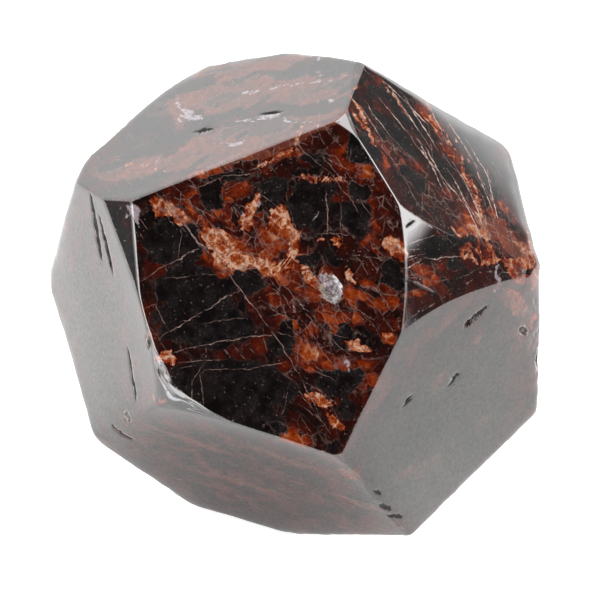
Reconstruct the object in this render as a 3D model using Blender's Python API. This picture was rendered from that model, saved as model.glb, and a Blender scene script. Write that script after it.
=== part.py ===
"""A palm-sized garnet crystal, ground and polished to broad flat facets.

The stone is one solid. Each facet is a plane at a set distance from the growth
centre; the planes are cut one after another from a block. The edges are then
eased, and pits, open cracks, chips and ledges are sunk into the facets.
"""
import math
from typing import NamedTuple

import bmesh
import bpy
from mathutils import Matrix, Vector

MM = 0.001
CRYSTAL = "garnet_crystal"

# Driving dimensions, millimetres.
BLOCK_SIZE = 80.0          # the rough block that the facets are cut from
REST_HEIGHT = 21.7         # growth centre above the facet that the stone rests on
SEAT_SHIFT = (0.47, 0.31)  # growth centre from the middle of the stone's footprint
CRISP_RADIUS = 0.35        # round of the sharp edges about the front facet
WORN_RADIUS = 1.10         # round of the rubbed outer edges
EDGE_STEPS = 3             # flat strips across each eased edge
CUT_TOLERANCE = 0.001      # how near a corner may lie to a cutting plane


class Facet(NamedTuple):
    """A facet: the way it faces in degrees, and its distance from the centre."""

    azimuth: float
    elevation: float
    distance: float

    def normal(self) -> Vector:
        """Outward unit vector of the facet."""
        azimuth = math.radians(self.azimuth)
        elevation = math.radians(self.elevation)
        level = math.cos(elevation)
        return Vector((level * math.cos(azimuth), level * math.sin(azimuth), math.sin(elevation)))


class Scar(NamedTuple):
    """A hollow in a facet, measured across and up the facet from its foot point."""

    facet: str
    across: float
    up: float
    length: float
    width: float
    depth: float
    turn: float = 0.0


class Step(NamedTuple):
    """A slab split off a facet where it meets another, placed along their edge."""

    facet: str
    beside: str
    along: float
    length: float
    width: float
    depth: float


# Broad facets, then the narrow ones that trim their corners.
FACETS = {
    "front": Facet(-108.0, 42.0, 18.4),
    "top": Facet(174.0, 66.5, 21.3),
    "upper_right": Facet(-12.0, 49.0, 22.6),
    "lower_right": Facet(-48.0, 8.0, 22.1),
    "bottom_front": Facet(-113.0, -24.0, 19.9),
    "left": Facet(-152.0, 9.0, 20.6),
    "under_left": Facet(161.5, -40.5, 20.0),
    "under_right": Facet(-19.5, -58.0, 20.6),
    "right_flank": Facet(12.0, -2.5, 22.4),
    "back_right": Facet(62.5, 37.0, 21.6),
    "back_left": Facet(139.5, 12.0, 22.2),
    "back": Facet(79.0, -28.5, 20.0),
    "crown_left": Facet(125.5, 24.0, 23.2),
    "crown_back": Facet(89.0, 33.5, 22.1),
    "rest": Facet(90.0, -90.0, REST_HEIGHT),
    "small_triangle": Facet(-48.5, 40.0, 23.5),
    "left_shoulder": Facet(165.0, 15.0, 24.4),
    "left_corner": Facet(-136.0, 31.0, 21.6),
    "lower_corner": Facet(-125.0, 19.0, 22.1),
    "right_strip": Facet(-27.5, 10.0, 25.0),
    "corner_chip": Facet(-82.5, 66.0, 24.4),
}

# Facets whose shared edges stay sharp; every other edge is rubbed round.
CRISP_FACETS = ("front", "small_triangle", "left_corner", "lower_corner", "corner_chip", "rest")

# Round-bottomed hollows: pits and bruises.
PITS = (
    Scar("front", 7.9, 1.1, 3.4, 2.4, 0.65, 110.0),
    Scar("top", -4.8, -2.5, 2.0, 1.1, 0.35, 40.0),
    Scar("top", 2.4, 3.4, 1.5, 0.9, 0.30, 110.0),
    Scar("top", 0.9, 5.4, 6.4, 1.6, 0.22, 93.0),
    Scar("bottom_front", 13.4, 0.2, 1.4, 0.7, 0.35, 157.0),
    Scar("bottom_front", -10.0, 4.4, 1.2, 0.9, 0.35, 164.0),
    Scar("lower_right", -9.5, -10.6, 1.6, 1.0, 0.40, 134.0),
    Scar("lower_right", -8.4, -12.4, 1.6, 0.9, 0.40, 158.0),
    Scar("lower_right", 10.4, 0.1, 1.6, 1.0, 0.35, 128.0),
    Scar("lower_right", 12.6, -4.4, 2.4, 1.6, 0.55, 86.0),
    Scar("left", 11.0, -0.8, 2.2, 1.2, 0.45, 4.0),
    Scar("left", 6.2, 3.1, 1.4, 0.9, 0.40, 124.0),
    Scar("upper_right", -5.5, -8.9, 2.8, 1.6, 0.40, 109.0),
    Scar("right_flank", 3.0, 6.0, 2.6, 1.7, 0.50, 30.0),
    Scar("back", -6.0, 4.0, 3.2, 2.2, 0.60, 70.0),
    Scar("back_right", 4.5, -2.0, 2.2, 1.2, 0.40, 20.0),
    Scar("under_left", -4.0, 5.0, 2.4, 1.5, 0.45, 140.0),
)

# Sharp-bottomed hollows: gashes, grooves and open cracks.
GASHES = (
    Scar("top", -2.0, -1.0, 2.6, 0.6, 0.35, 38.0),
    Scar("top", -1.6, 6.1, 2.6, 0.6, 0.35, 90.0),
    Scar("lower_right", 4.1, 5.1, 3.5, 0.6, 0.40, 14.0),
    Scar("lower_right", 0.9, -0.5, 1.8, 0.5, 0.35, 33.0),
    Scar("lower_right", -5.3, 0.0, 1.4, 0.5, 0.30, 33.0),
    Scar("bottom_front", -11.4, 0.5, 2.8, 0.7, 0.40, 140.0),
    Scar("left", -6.5, 8.1, 7.0, 0.7, 0.25, 125.0),
    Scar("left", -4.2, 7.6, 6.2, 0.6, 0.20, 134.0),
    Scar("left", 4.4, -2.6, 6.4, 0.5, 0.20, 126.0),
    Scar("upper_right", 2.8, 3.9, 15.0, 0.5, 0.25, 73.0),
    Scar("back_left", 2.0, -1.0, 5.0, 0.6, 0.30, 60.0),
    Scar("back", 5.0, -3.0, 6.5, 0.6, 0.30, 25.0),
    Scar("right_flank", -5.0, -4.0, 4.5, 0.6, 0.30, 115.0),
)

# Flat-bottomed steps split off along an edge.
STEPS = (
    Step("left", "top", -6.6, 2.6, 1.3, 0.35),
    Step("back", "crown_back", 3.0, 5.2, 1.5, 0.45),
    Step("under_left", "back", 4.5, 5.6, 1.6, 0.45),
    Step("right_flank", "back_right", 1.5, 4.6, 1.3, 0.40),
)


def clear_scene() -> None:
    """Remove every object that the file opened with."""
    for item in list(bpy.data.objects):
        bpy.data.objects.remove(item, do_unlink=True)


def new_collection(name: str) -> bpy.types.Collection:
    """Make a collection and link it to the scene."""
    collection = bpy.data.collections.new(name)
    bpy.context.scene.collection.children.link(collection)
    return collection


def garnet_material() -> bpy.types.Material:
    """Polished garnet: nearly black with a red-brown cast."""
    material = bpy.data.materials.new("polished_garnet")
    material.use_nodes = True
    shader = material.node_tree.nodes["Principled BSDF"]
    shader.inputs["Base Color"].default_value = (0.055, 0.018, 0.012, 1.0)
    shader.inputs["Roughness"].default_value = 0.12
    shader.inputs["Metallic"].default_value = 0.0
    shader.inputs["IOR"].default_value = 1.8
    return material


def grind(stone: bmesh.types.BMesh, normal: Vector, distance: float) -> list:
    """Drop what lies beyond a plane, close the cut flat, and return the new face."""
    everything = stone.verts[:] + stone.edges[:] + stone.faces[:]
    cut = bmesh.ops.bisect_plane(
        stone,
        geom=everything,
        dist=CUT_TOLERANCE * MM,
        plane_co=normal * distance * MM,
        plane_no=normal,
        clear_outer=True,
    )
    rim = [piece for piece in cut["geom_cut"] if isinstance(piece, bmesh.types.BMEdge)]
    return bmesh.ops.holes_fill(stone, edges=rim, sides=0)["faces"]


def edge_point(one: Facet, two: Facet, inset: float) -> Vector:
    """The point nearest the centre that lies an inset inside both facets' planes."""
    start, finish = one.normal(), two.normal()
    meeting = start.dot(finish)
    one_reach = one.distance - inset
    two_reach = two.distance - inset
    point = start * (one_reach - meeting * two_reach) + finish * (two_reach - meeting * one_reach)
    return point / (1.0 - meeting * meeting)


def easing_planes(first: str, second: str) -> list:
    """Planes that roll one facet over into its neighbour.

    They touch a round of the edge's radius that itself touches both facets, and
    their normals turn by equal angles from one facet's to the other's.
    """
    crisp = first in CRISP_FACETS or second in CRISP_FACETS
    radius = CRISP_RADIUS if crisp else WORN_RADIUS
    one, two = FACETS[first], FACETS[second]
    middle = edge_point(one, two, radius)
    start, finish = one.normal(), two.normal()
    planes = []
    for step in range(1, EDGE_STEPS + 1):
        normal = start.slerp(finish, step / (EDGE_STEPS + 1))
        planes.append((normal, normal.dot(middle) + radius))
    return planes


def build_stone(collection: bpy.types.Collection, centre: bpy.types.Object) -> bpy.types.Object:
    """Cut the block to the facets, ease its edges, and return the stone."""
    stone = bmesh.new()
    bmesh.ops.create_cube(stone, size=BLOCK_SIZE * MM)
    mark = stone.faces.layers.int.new("facet")
    names = list(FACETS)
    for number, facet in enumerate(FACETS.values()):
        for face in grind(stone, facet.normal(), facet.distance):
            face[mark] = number
    edges = [[names[face[mark]] for face in edge.link_faces] for edge in stone.edges]
    for first, second in edges:
        for normal, distance in easing_planes(first, second):
            grind(stone, normal, distance)
    bmesh.ops.recalc_face_normals(stone, faces=stone.faces[:])
    mesh = bpy.data.meshes.new(CRYSTAL)
    stone.to_mesh(mesh)
    stone.free()
    crystal = bpy.data.objects.new(CRYSTAL, mesh)
    crystal.parent = centre
    collection.objects.link(crystal)
    return crystal


def scar_place(scar: Scar) -> Matrix:
    """Frame of a scar: X along it, Z straight out of its facet, origin on the facet."""
    facet = FACETS[scar.facet]
    out = facet.normal()
    across = Vector((0.0, 0.0, 1.0)).cross(out).normalized()
    up = out.cross(across)
    point = (out * facet.distance + across * scar.across + up * scar.up) * MM
    turned = Matrix.Rotation(math.radians(scar.turn), 4, "Z")
    axes = Matrix((across, up, out)).transposed().to_4x4()
    return Matrix.Translation(point) @ axes @ turned


def pit_cutter(scar: Scar) -> bmesh.types.BMesh:
    """A ball cap: as wide as the scar where it meets the facet, as deep at its middle.

    The ball stands so high that the facet plane passes above its lowest point by
    the depth; its width at that plane is brought to the scar's length and width.
    """
    sink = 0.35
    cutter = bmesh.new()
    bmesh.ops.create_icosphere(cutter, subdivisions=2, radius=1.0)
    rim = math.sqrt(1.0 - (1.0 - sink) ** 2)
    size = Vector((scar.length / 2 / rim, scar.width / 2 / rim, scar.depth / sink)) * MM
    lift = (1.0 - sink) * size.z
    shape = Matrix.Translation((0.0, 0.0, lift)) @ Matrix.Diagonal(size).to_4x4()
    bmesh.ops.transform(cutter, matrix=shape, verts=cutter.verts)
    return cutter


def gash_cutter(scar: Scar) -> bmesh.types.BMesh:
    """A keel: a narrow spindle with six flat sides, half sunk in the facet."""
    cutter = bmesh.new()
    bmesh.ops.create_icosphere(cutter, subdivisions=1, radius=1.0)
    size = Vector((scar.length / 2, scar.width / 2, scar.depth)) * MM
    bmesh.ops.transform(cutter, matrix=Matrix.Diagonal(size).to_4x4(), verts=cutter.verts)
    return cutter


def step_place(step: Step) -> Matrix:
    """Frame of a step: X along the edge, Y out across it, Z out of the facet."""
    facet, beside = FACETS[step.facet], FACETS[step.beside]
    out = facet.normal()
    along = out.cross(beside.normal()).normalized()
    over = out.cross(along)
    if over.dot(beside.normal()) < 0.0:
        over, along = -over, -along
    point = (edge_point(facet, beside, 0.0) + along * step.along) * MM
    axes = Matrix((along, over, out)).transposed().to_4x4()
    return Matrix.Translation(point) @ axes


def step_cutter(step: Step) -> bmesh.types.BMesh:
    """A slab as deep as the step that it leaves, reaching out past the edge."""
    reach = 3.0
    cutter = bmesh.new()
    bmesh.ops.create_cube(cutter, size=1.0)
    size = Vector((step.length, step.width + reach, step.depth + reach)) * MM
    middle = Vector((0.0, (reach - step.width) / 2, (reach - step.depth) / 2)) * MM
    shape = Matrix.Translation(middle) @ Matrix.Diagonal(size).to_4x4()
    bmesh.ops.transform(cutter, matrix=shape, verts=cutter.verts)
    return cutter


def add_cutter(name: str, cutter: bmesh.types.BMesh, place: Matrix, tools, centre) -> None:
    """Stand a cutter at its place, hidden from the finished part."""
    mesh = bpy.data.meshes.new(name)
    cutter.to_mesh(mesh)
    cutter.free()
    tool = bpy.data.objects.new(name, mesh)
    tool.parent = centre
    tool.matrix_local = place
    tool.hide_render = True
    tool.display_type = "WIRE"
    tools.objects.link(tool)


def scar_stone(crystal: bpy.types.Object, tools: bpy.types.Collection, centre) -> None:
    """Sink every pit, gash and step into the stone with one Boolean."""
    for count, scar in enumerate(PITS, start=1):
        add_cutter(f"pit_{count}", pit_cutter(scar), scar_place(scar), tools, centre)
    for count, scar in enumerate(GASHES, start=1):
        add_cutter(f"gash_{count}", gash_cutter(scar), scar_place(scar), tools, centre)
    for count, step in enumerate(STEPS, start=1):
        add_cutter(f"step_{count}", step_cutter(step), step_place(step), tools, centre)
    hollow = crystal.modifiers.new("scars", "BOOLEAN")
    hollow.operation = "DIFFERENCE"
    hollow.operand_type = "COLLECTION"
    hollow.collection = tools
    hollow.solver = "EXACT"
    hollow.use_self = True


def main() -> None:
    """Build the crystal, resting on its base facet at the origin."""
    clear_scene()
    parts = new_collection(CRYSTAL)
    tools = new_collection("scar_cutters")
    centre = bpy.data.objects.new("growth_centre", None)
    centre.location = Vector((SEAT_SHIFT[0], SEAT_SHIFT[1], REST_HEIGHT)) * MM
    parts.objects.link(centre)
    crystal = build_stone(parts, centre)
    crystal.data.materials.append(garnet_material())
    scar_stone(crystal, tools, centre)


main()
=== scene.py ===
"""A polished garnet crystal, resting on one of its facets on a pale studio floor.

The stone is one closed surface. A facet is a plane at a set distance from the
growth centre; where planes meet, the surface rolls over by a smooth maximum, and
pits, gashes and chips are pressed into it. Its finish is worked out from the place
of each point inside the stone, so cracks and seams run on from facet to facet.
Lengths are in millimetres where no comment says otherwise. The meshes, the floor
and the camera's place are in metres.
"""
from __future__ import annotations

import itertools
import logging
import math
from dataclasses import dataclass
from enum import Enum
from typing import Mapping, Sequence, Union

import bmesh
import bpy
import numpy as np
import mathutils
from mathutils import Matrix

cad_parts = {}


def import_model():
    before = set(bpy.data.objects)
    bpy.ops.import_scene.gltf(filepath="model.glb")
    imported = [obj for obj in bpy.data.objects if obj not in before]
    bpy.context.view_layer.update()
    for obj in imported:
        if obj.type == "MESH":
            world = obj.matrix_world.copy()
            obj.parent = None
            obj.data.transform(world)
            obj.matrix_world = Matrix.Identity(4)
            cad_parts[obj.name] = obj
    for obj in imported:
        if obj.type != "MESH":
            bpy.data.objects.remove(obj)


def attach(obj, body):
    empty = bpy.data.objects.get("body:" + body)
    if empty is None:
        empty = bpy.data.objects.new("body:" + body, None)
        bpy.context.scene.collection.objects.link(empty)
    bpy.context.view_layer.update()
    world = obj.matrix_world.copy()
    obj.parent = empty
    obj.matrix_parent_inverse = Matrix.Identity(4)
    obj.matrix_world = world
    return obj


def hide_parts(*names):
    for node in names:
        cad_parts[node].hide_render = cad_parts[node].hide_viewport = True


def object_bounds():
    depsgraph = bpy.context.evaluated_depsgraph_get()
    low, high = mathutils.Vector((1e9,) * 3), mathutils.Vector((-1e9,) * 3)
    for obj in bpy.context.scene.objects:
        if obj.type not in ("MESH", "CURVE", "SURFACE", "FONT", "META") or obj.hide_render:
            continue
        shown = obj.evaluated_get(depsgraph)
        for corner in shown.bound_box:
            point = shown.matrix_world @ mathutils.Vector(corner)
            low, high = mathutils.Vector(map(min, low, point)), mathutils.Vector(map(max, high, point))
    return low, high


MM = 0.001
NODE = "garnet_crystal"
BODY = "root"
LOG = logging.getLogger("garnet")

Value = Union[float, "Wire"]
Vector = Union["Wire", Sequence[float]]


class Side(Enum):
    """The facets, named by where they face."""

    FRONT = "front"
    TOP = "top"
    UPPER_RIGHT = "upper right"
    LOWER_RIGHT = "lower right"
    BOTTOM_FRONT = "bottom front"
    LEFT = "left"
    UNDER_LEFT = "under left"
    UNDER_RIGHT = "under right"
    RIGHT_FLANK = "right flank"
    BACK_RIGHT = "back right"
    BACK_LEFT = "back left"
    BACK = "back"
    CROWN_LEFT = "crown left"
    CROWN_BACK = "crown back"
    REST = "rest"
    SMALL_TRIANGLE = "small triangle"
    LEFT_SHOULDER = "left shoulder"
    LEFT_CORNER = "left corner"
    LOWER_CORNER = "lower corner"
    RIGHT_STRIP = "right strip"
    CORNER_CHIP = "corner chip"


def heading(azimuth: float, elevation: float) -> np.ndarray:
    """Unit vector at an azimuth and an elevation, both in degrees."""
    turn, tilt = math.radians(azimuth), math.radians(elevation)
    return np.array([math.cos(tilt) * math.cos(turn), math.cos(tilt) * math.sin(turn), math.sin(tilt)])


@dataclass(frozen=True)
class Facet:
    """A plane that bounds the stone: where it faces, in degrees, and how far out it is."""

    azimuth: float
    elevation: float
    distance: float

    def normal(self) -> np.ndarray:
        """Outward unit vector of the facet."""
        return heading(self.azimuth, self.elevation)

    def axes(self) -> np.ndarray:
        """Work out the facet's own directions.

        Returns:
            Three rows: across the facet (level), up it, and straight out of it.
        """
        out = self.normal()
        across = np.cross([0.0, 0.0, 1.0], out)
        across /= np.linalg.norm(across)
        return np.array([across, np.cross(out, across), out])

    def point(self, across: float, up: float) -> np.ndarray:
        """A place on the facet, measured from the foot of its normal."""
        return np.array([across, up, self.distance]) @ self.axes()

    def flat(self, points: np.ndarray) -> np.ndarray:
        """How far across and up the facet each point lies."""
        return (points @ self.axes().T)[:, :2]

    def gap(self, points: np.ndarray) -> np.ndarray:
        """How far inside the facet's plane each point lies."""
        return self.distance - points @ self.normal()


FACETS: dict[Side, Facet] = {
    Side.FRONT: Facet(-108.0, 42.0, 18.4),
    Side.TOP: Facet(174.0, 66.5, 21.3),
    Side.UPPER_RIGHT: Facet(-12.0, 49.0, 22.6),
    Side.LOWER_RIGHT: Facet(-48.0, 8.0, 22.1),
    Side.BOTTOM_FRONT: Facet(-113.0, -24.0, 19.9),
    Side.LEFT: Facet(-152.0, 9.0, 20.6),
    Side.UNDER_LEFT: Facet(161.5, -40.5, 20.0),
    Side.UNDER_RIGHT: Facet(-19.5, -58.0, 20.6),
    Side.RIGHT_FLANK: Facet(12.0, -2.5, 22.4),
    Side.BACK_RIGHT: Facet(62.5, 37.0, 21.6),
    Side.BACK_LEFT: Facet(139.5, 12.0, 22.2),
    Side.BACK: Facet(79.0, -28.5, 20.0),
    Side.CROWN_LEFT: Facet(125.5, 24.0, 23.2),
    Side.CROWN_BACK: Facet(89.0, 33.5, 22.1),
    Side.REST: Facet(90.0, -90.0, 21.7),
    Side.SMALL_TRIANGLE: Facet(-48.5, 40.0, 23.5),
    Side.LEFT_SHOULDER: Facet(165.0, 15.0, 24.4),
    Side.LEFT_CORNER: Facet(-136.0, 31.0, 21.6),
    Side.LOWER_CORNER: Facet(-125.0, 19.0, 22.1),
    Side.RIGHT_STRIP: Facet(-27.5, 10.0, 25.0),
    Side.CORNER_CHIP: Facet(-82.5, 66.0, 24.4),
}

# The growth centre in the part's frame, above the facet that the stone rests on.
CENTRE = (0.47, 0.31, FACETS[Side.REST].distance)


class Stuff(Enum):
    """What the stone is made of in one place; each has a point attribute of its name."""

    WINDOW = "window"
    WINE = "wine"
    AMBER = "amber"
    RIND = "rind"
    CHALK = "chalk"
    ROSE = "rose"
    FIRE = "fire"


class Seam(Enum):
    """Cracks by how much they show; the value is half the width in mm."""

    BROAD = 0.115
    BOLD = 0.066
    FINE = 0.048
    FAINT = 0.042


class Hollow(Enum):
    """The cross-section of a scar: the power by which its depth falls off to its rim."""

    PIT = 0.9
    GASH = 1.0


@dataclass(frozen=True)
class Oval:
    """An oval on a facet: its middle across and up, its size in mm and its turn in degrees."""

    side: Side
    across: float
    up: float
    length: float
    width: float
    turn: float

    def frame(self) -> np.ndarray:
        """Turn the facet's directions by the oval's turn.

        Returns:
            Three rows: along the oval, across it, and straight out of the facet.
        """
        turn = math.radians(self.turn)
        spin = np.array([[math.cos(turn), math.sin(turn), 0.0],
                         [-math.sin(turn), math.cos(turn), 0.0],
                         [0.0, 0.0, 1.0]])
        return spin @ FACETS[self.side].axes()

    def local(self, points: np.ndarray) -> np.ndarray:
        """Points in the oval's own frame: along it, across it, and out of the facet."""
        return (points - FACETS[self.side].point(self.across, self.up)) @ self.frame().T


@dataclass(frozen=True)
class Scar(Oval):
    """A hollow in a facet, with its greatest depth in mm."""

    depth: float
    hollow: Hollow


@dataclass(frozen=True)
class Blotch(Oval):
    """A flat lump of one kind of stuff that shows on a facet.

    Half its depth is half its width, thick at most, and the skin; on the top facet it is thin.
    """

    blur: float = 0.9
    thin: float = 0.5
    thick: float = 1.2
    skin: float = 0.4

    def share(self, points: np.ndarray) -> np.ndarray:
        """Work out how far inside the lump each point is.

        The share is 0.5 + (1 - r) * half width / blur, where r is the distance from
        the middle in half sizes.

        Args:
            points: Places in the stone, one row each.

        Returns:
            For each point 0.5 on the lump's rim, 1 well inside, 0 outside.
        """
        depth = self.thin if self.side is Side.TOP else min(self.width / 2, self.thick) + self.skin
        half = np.array([self.length / 2, self.width / 2, depth])
        radius = np.sqrt(((self.local(points) / half) ** 2).sum(axis=1))
        return np.clip(0.5 + (1.0 - radius) * self.width / 2 / self.blur, 0.0, 1.0)


@dataclass(frozen=True)
class Crack:
    """A straight piece of a crack on a facet, between two places across and up it.

    Its lens reaches past the two places, so that pieces run into each other: half of it
    is the distance between them times lengthening, and the tip, in mm.
    """

    across: float
    up: float
    far_across: float
    far_up: float
    lengthening: float = 0.65
    tip: float = 0.1

    def frame(self, half_width: float) -> np.ndarray:
        """Turn places (across, up, 1) on the facet into places in the crack's thin lens.

        Args:
            half_width: Half of the crack's width, in mm.

        Returns:
            Two rows, for the place along the lens and across it, in half sizes.
        """
        near, far = np.array([self.across, self.up]), np.array([self.far_across, self.far_up])
        length = float(np.linalg.norm(far - near))
        along = (far - near) / length
        aside = np.array([-along[1], along[0]])
        middle = (near + far) / 2
        half = [[length * self.lengthening + self.tip], [half_width]]
        return np.array([[*along, -along @ middle], [*aside, -aside @ middle]]) / half


# Scars by kind and facet: across, up, length, width, turn, depth.
SCARS: dict[tuple[Hollow, Side], tuple] = {
    (Hollow.PIT, Side.FRONT): ((7.6, 1.0, 2.9, 1.8, 118, 0.50),),
    (Hollow.PIT, Side.BOTTOM_FRONT): (
        (13.4, 0.2, 1.4, 0.7, 157, 0.35), (-10.0, 4.4, 1.2, 0.9, 164, 0.35), (-1.8, 12.0, 2.2, 0.8, 0, 0.20),
    ),
    (Hollow.PIT, Side.LOWER_RIGHT): (
        (10.4, 0.1, 1.6, 1.0, 128, 0.35), (12.6, -4.4, 2.4, 1.6, 86, 0.55),
    ),
    (Hollow.PIT, Side.LEFT): ((6.2, 3.1, 1.4, 0.9, 124, 0.40),),
    (Hollow.PIT, Side.RIGHT_FLANK): ((3.0, 6.0, 2.6, 1.7, 30, 0.50),),
    (Hollow.PIT, Side.BACK): ((-6.0, 4.0, 3.2, 2.2, 70, 0.60),),
    (Hollow.PIT, Side.BACK_RIGHT): ((4.5, -2.0, 2.2, 1.2, 20, 0.40),),
    (Hollow.PIT, Side.UNDER_LEFT): ((-4.0, 5.0, 2.4, 1.5, 140, 0.45),),
    (Hollow.GASH, Side.TOP): (
        (-1.7, -1.0, 2.0, 0.5, 75, 0.16), (-1.3, 6.4, 2.2, 0.5, 74, 0.16),
    ),
    (Hollow.GASH, Side.SMALL_TRIANGLE): (
        (0.8, 3.8, 1.9, 0.24, 4, 0.05), (-1.0, -2.2, 4.3, 0.60, -47, 0.06),
    ),
    (Hollow.GASH, Side.LOWER_RIGHT): (
        (4.1, 5.1, 3.5, 0.6, 14, 0.40), (0.9, -0.5, 1.8, 0.5, 33, 0.35), (-5.3, 0.0, 1.4, 0.5, 33, 0.30),
        (-9.5, -10.6, 1.7, 0.6, 134, 0.25), (-8.4, -12.4, 1.9, 0.6, 150, 0.25),
        (-10.4, -8.2, 1.3, 0.4, 138, 0.20),
    ),
    (Hollow.GASH, Side.BOTTOM_FRONT): ((-11.4, 0.5, 2.8, 0.7, 140, 0.40),),
    (Hollow.GASH, Side.LEFT): (
        (-6.5, 8.1, 7.4, 0.8, 125, 0.25), (-4.2, 7.6, 6.4, 0.6, 134, 0.20), (4.4, -2.6, 6.4, 0.4, 126, 0.20),
    ),
    (Hollow.GASH, Side.BACK_LEFT): ((2.0, -1.0, 5.0, 0.6, 60, 0.30),),
    (Hollow.GASH, Side.BACK): ((5.0, -3.0, 6.5, 0.6, 25, 0.30),),
    (Hollow.GASH, Side.RIGHT_FLANK): ((-5.0, -4.0, 4.5, 0.6, 115, 0.30),),
}

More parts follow.
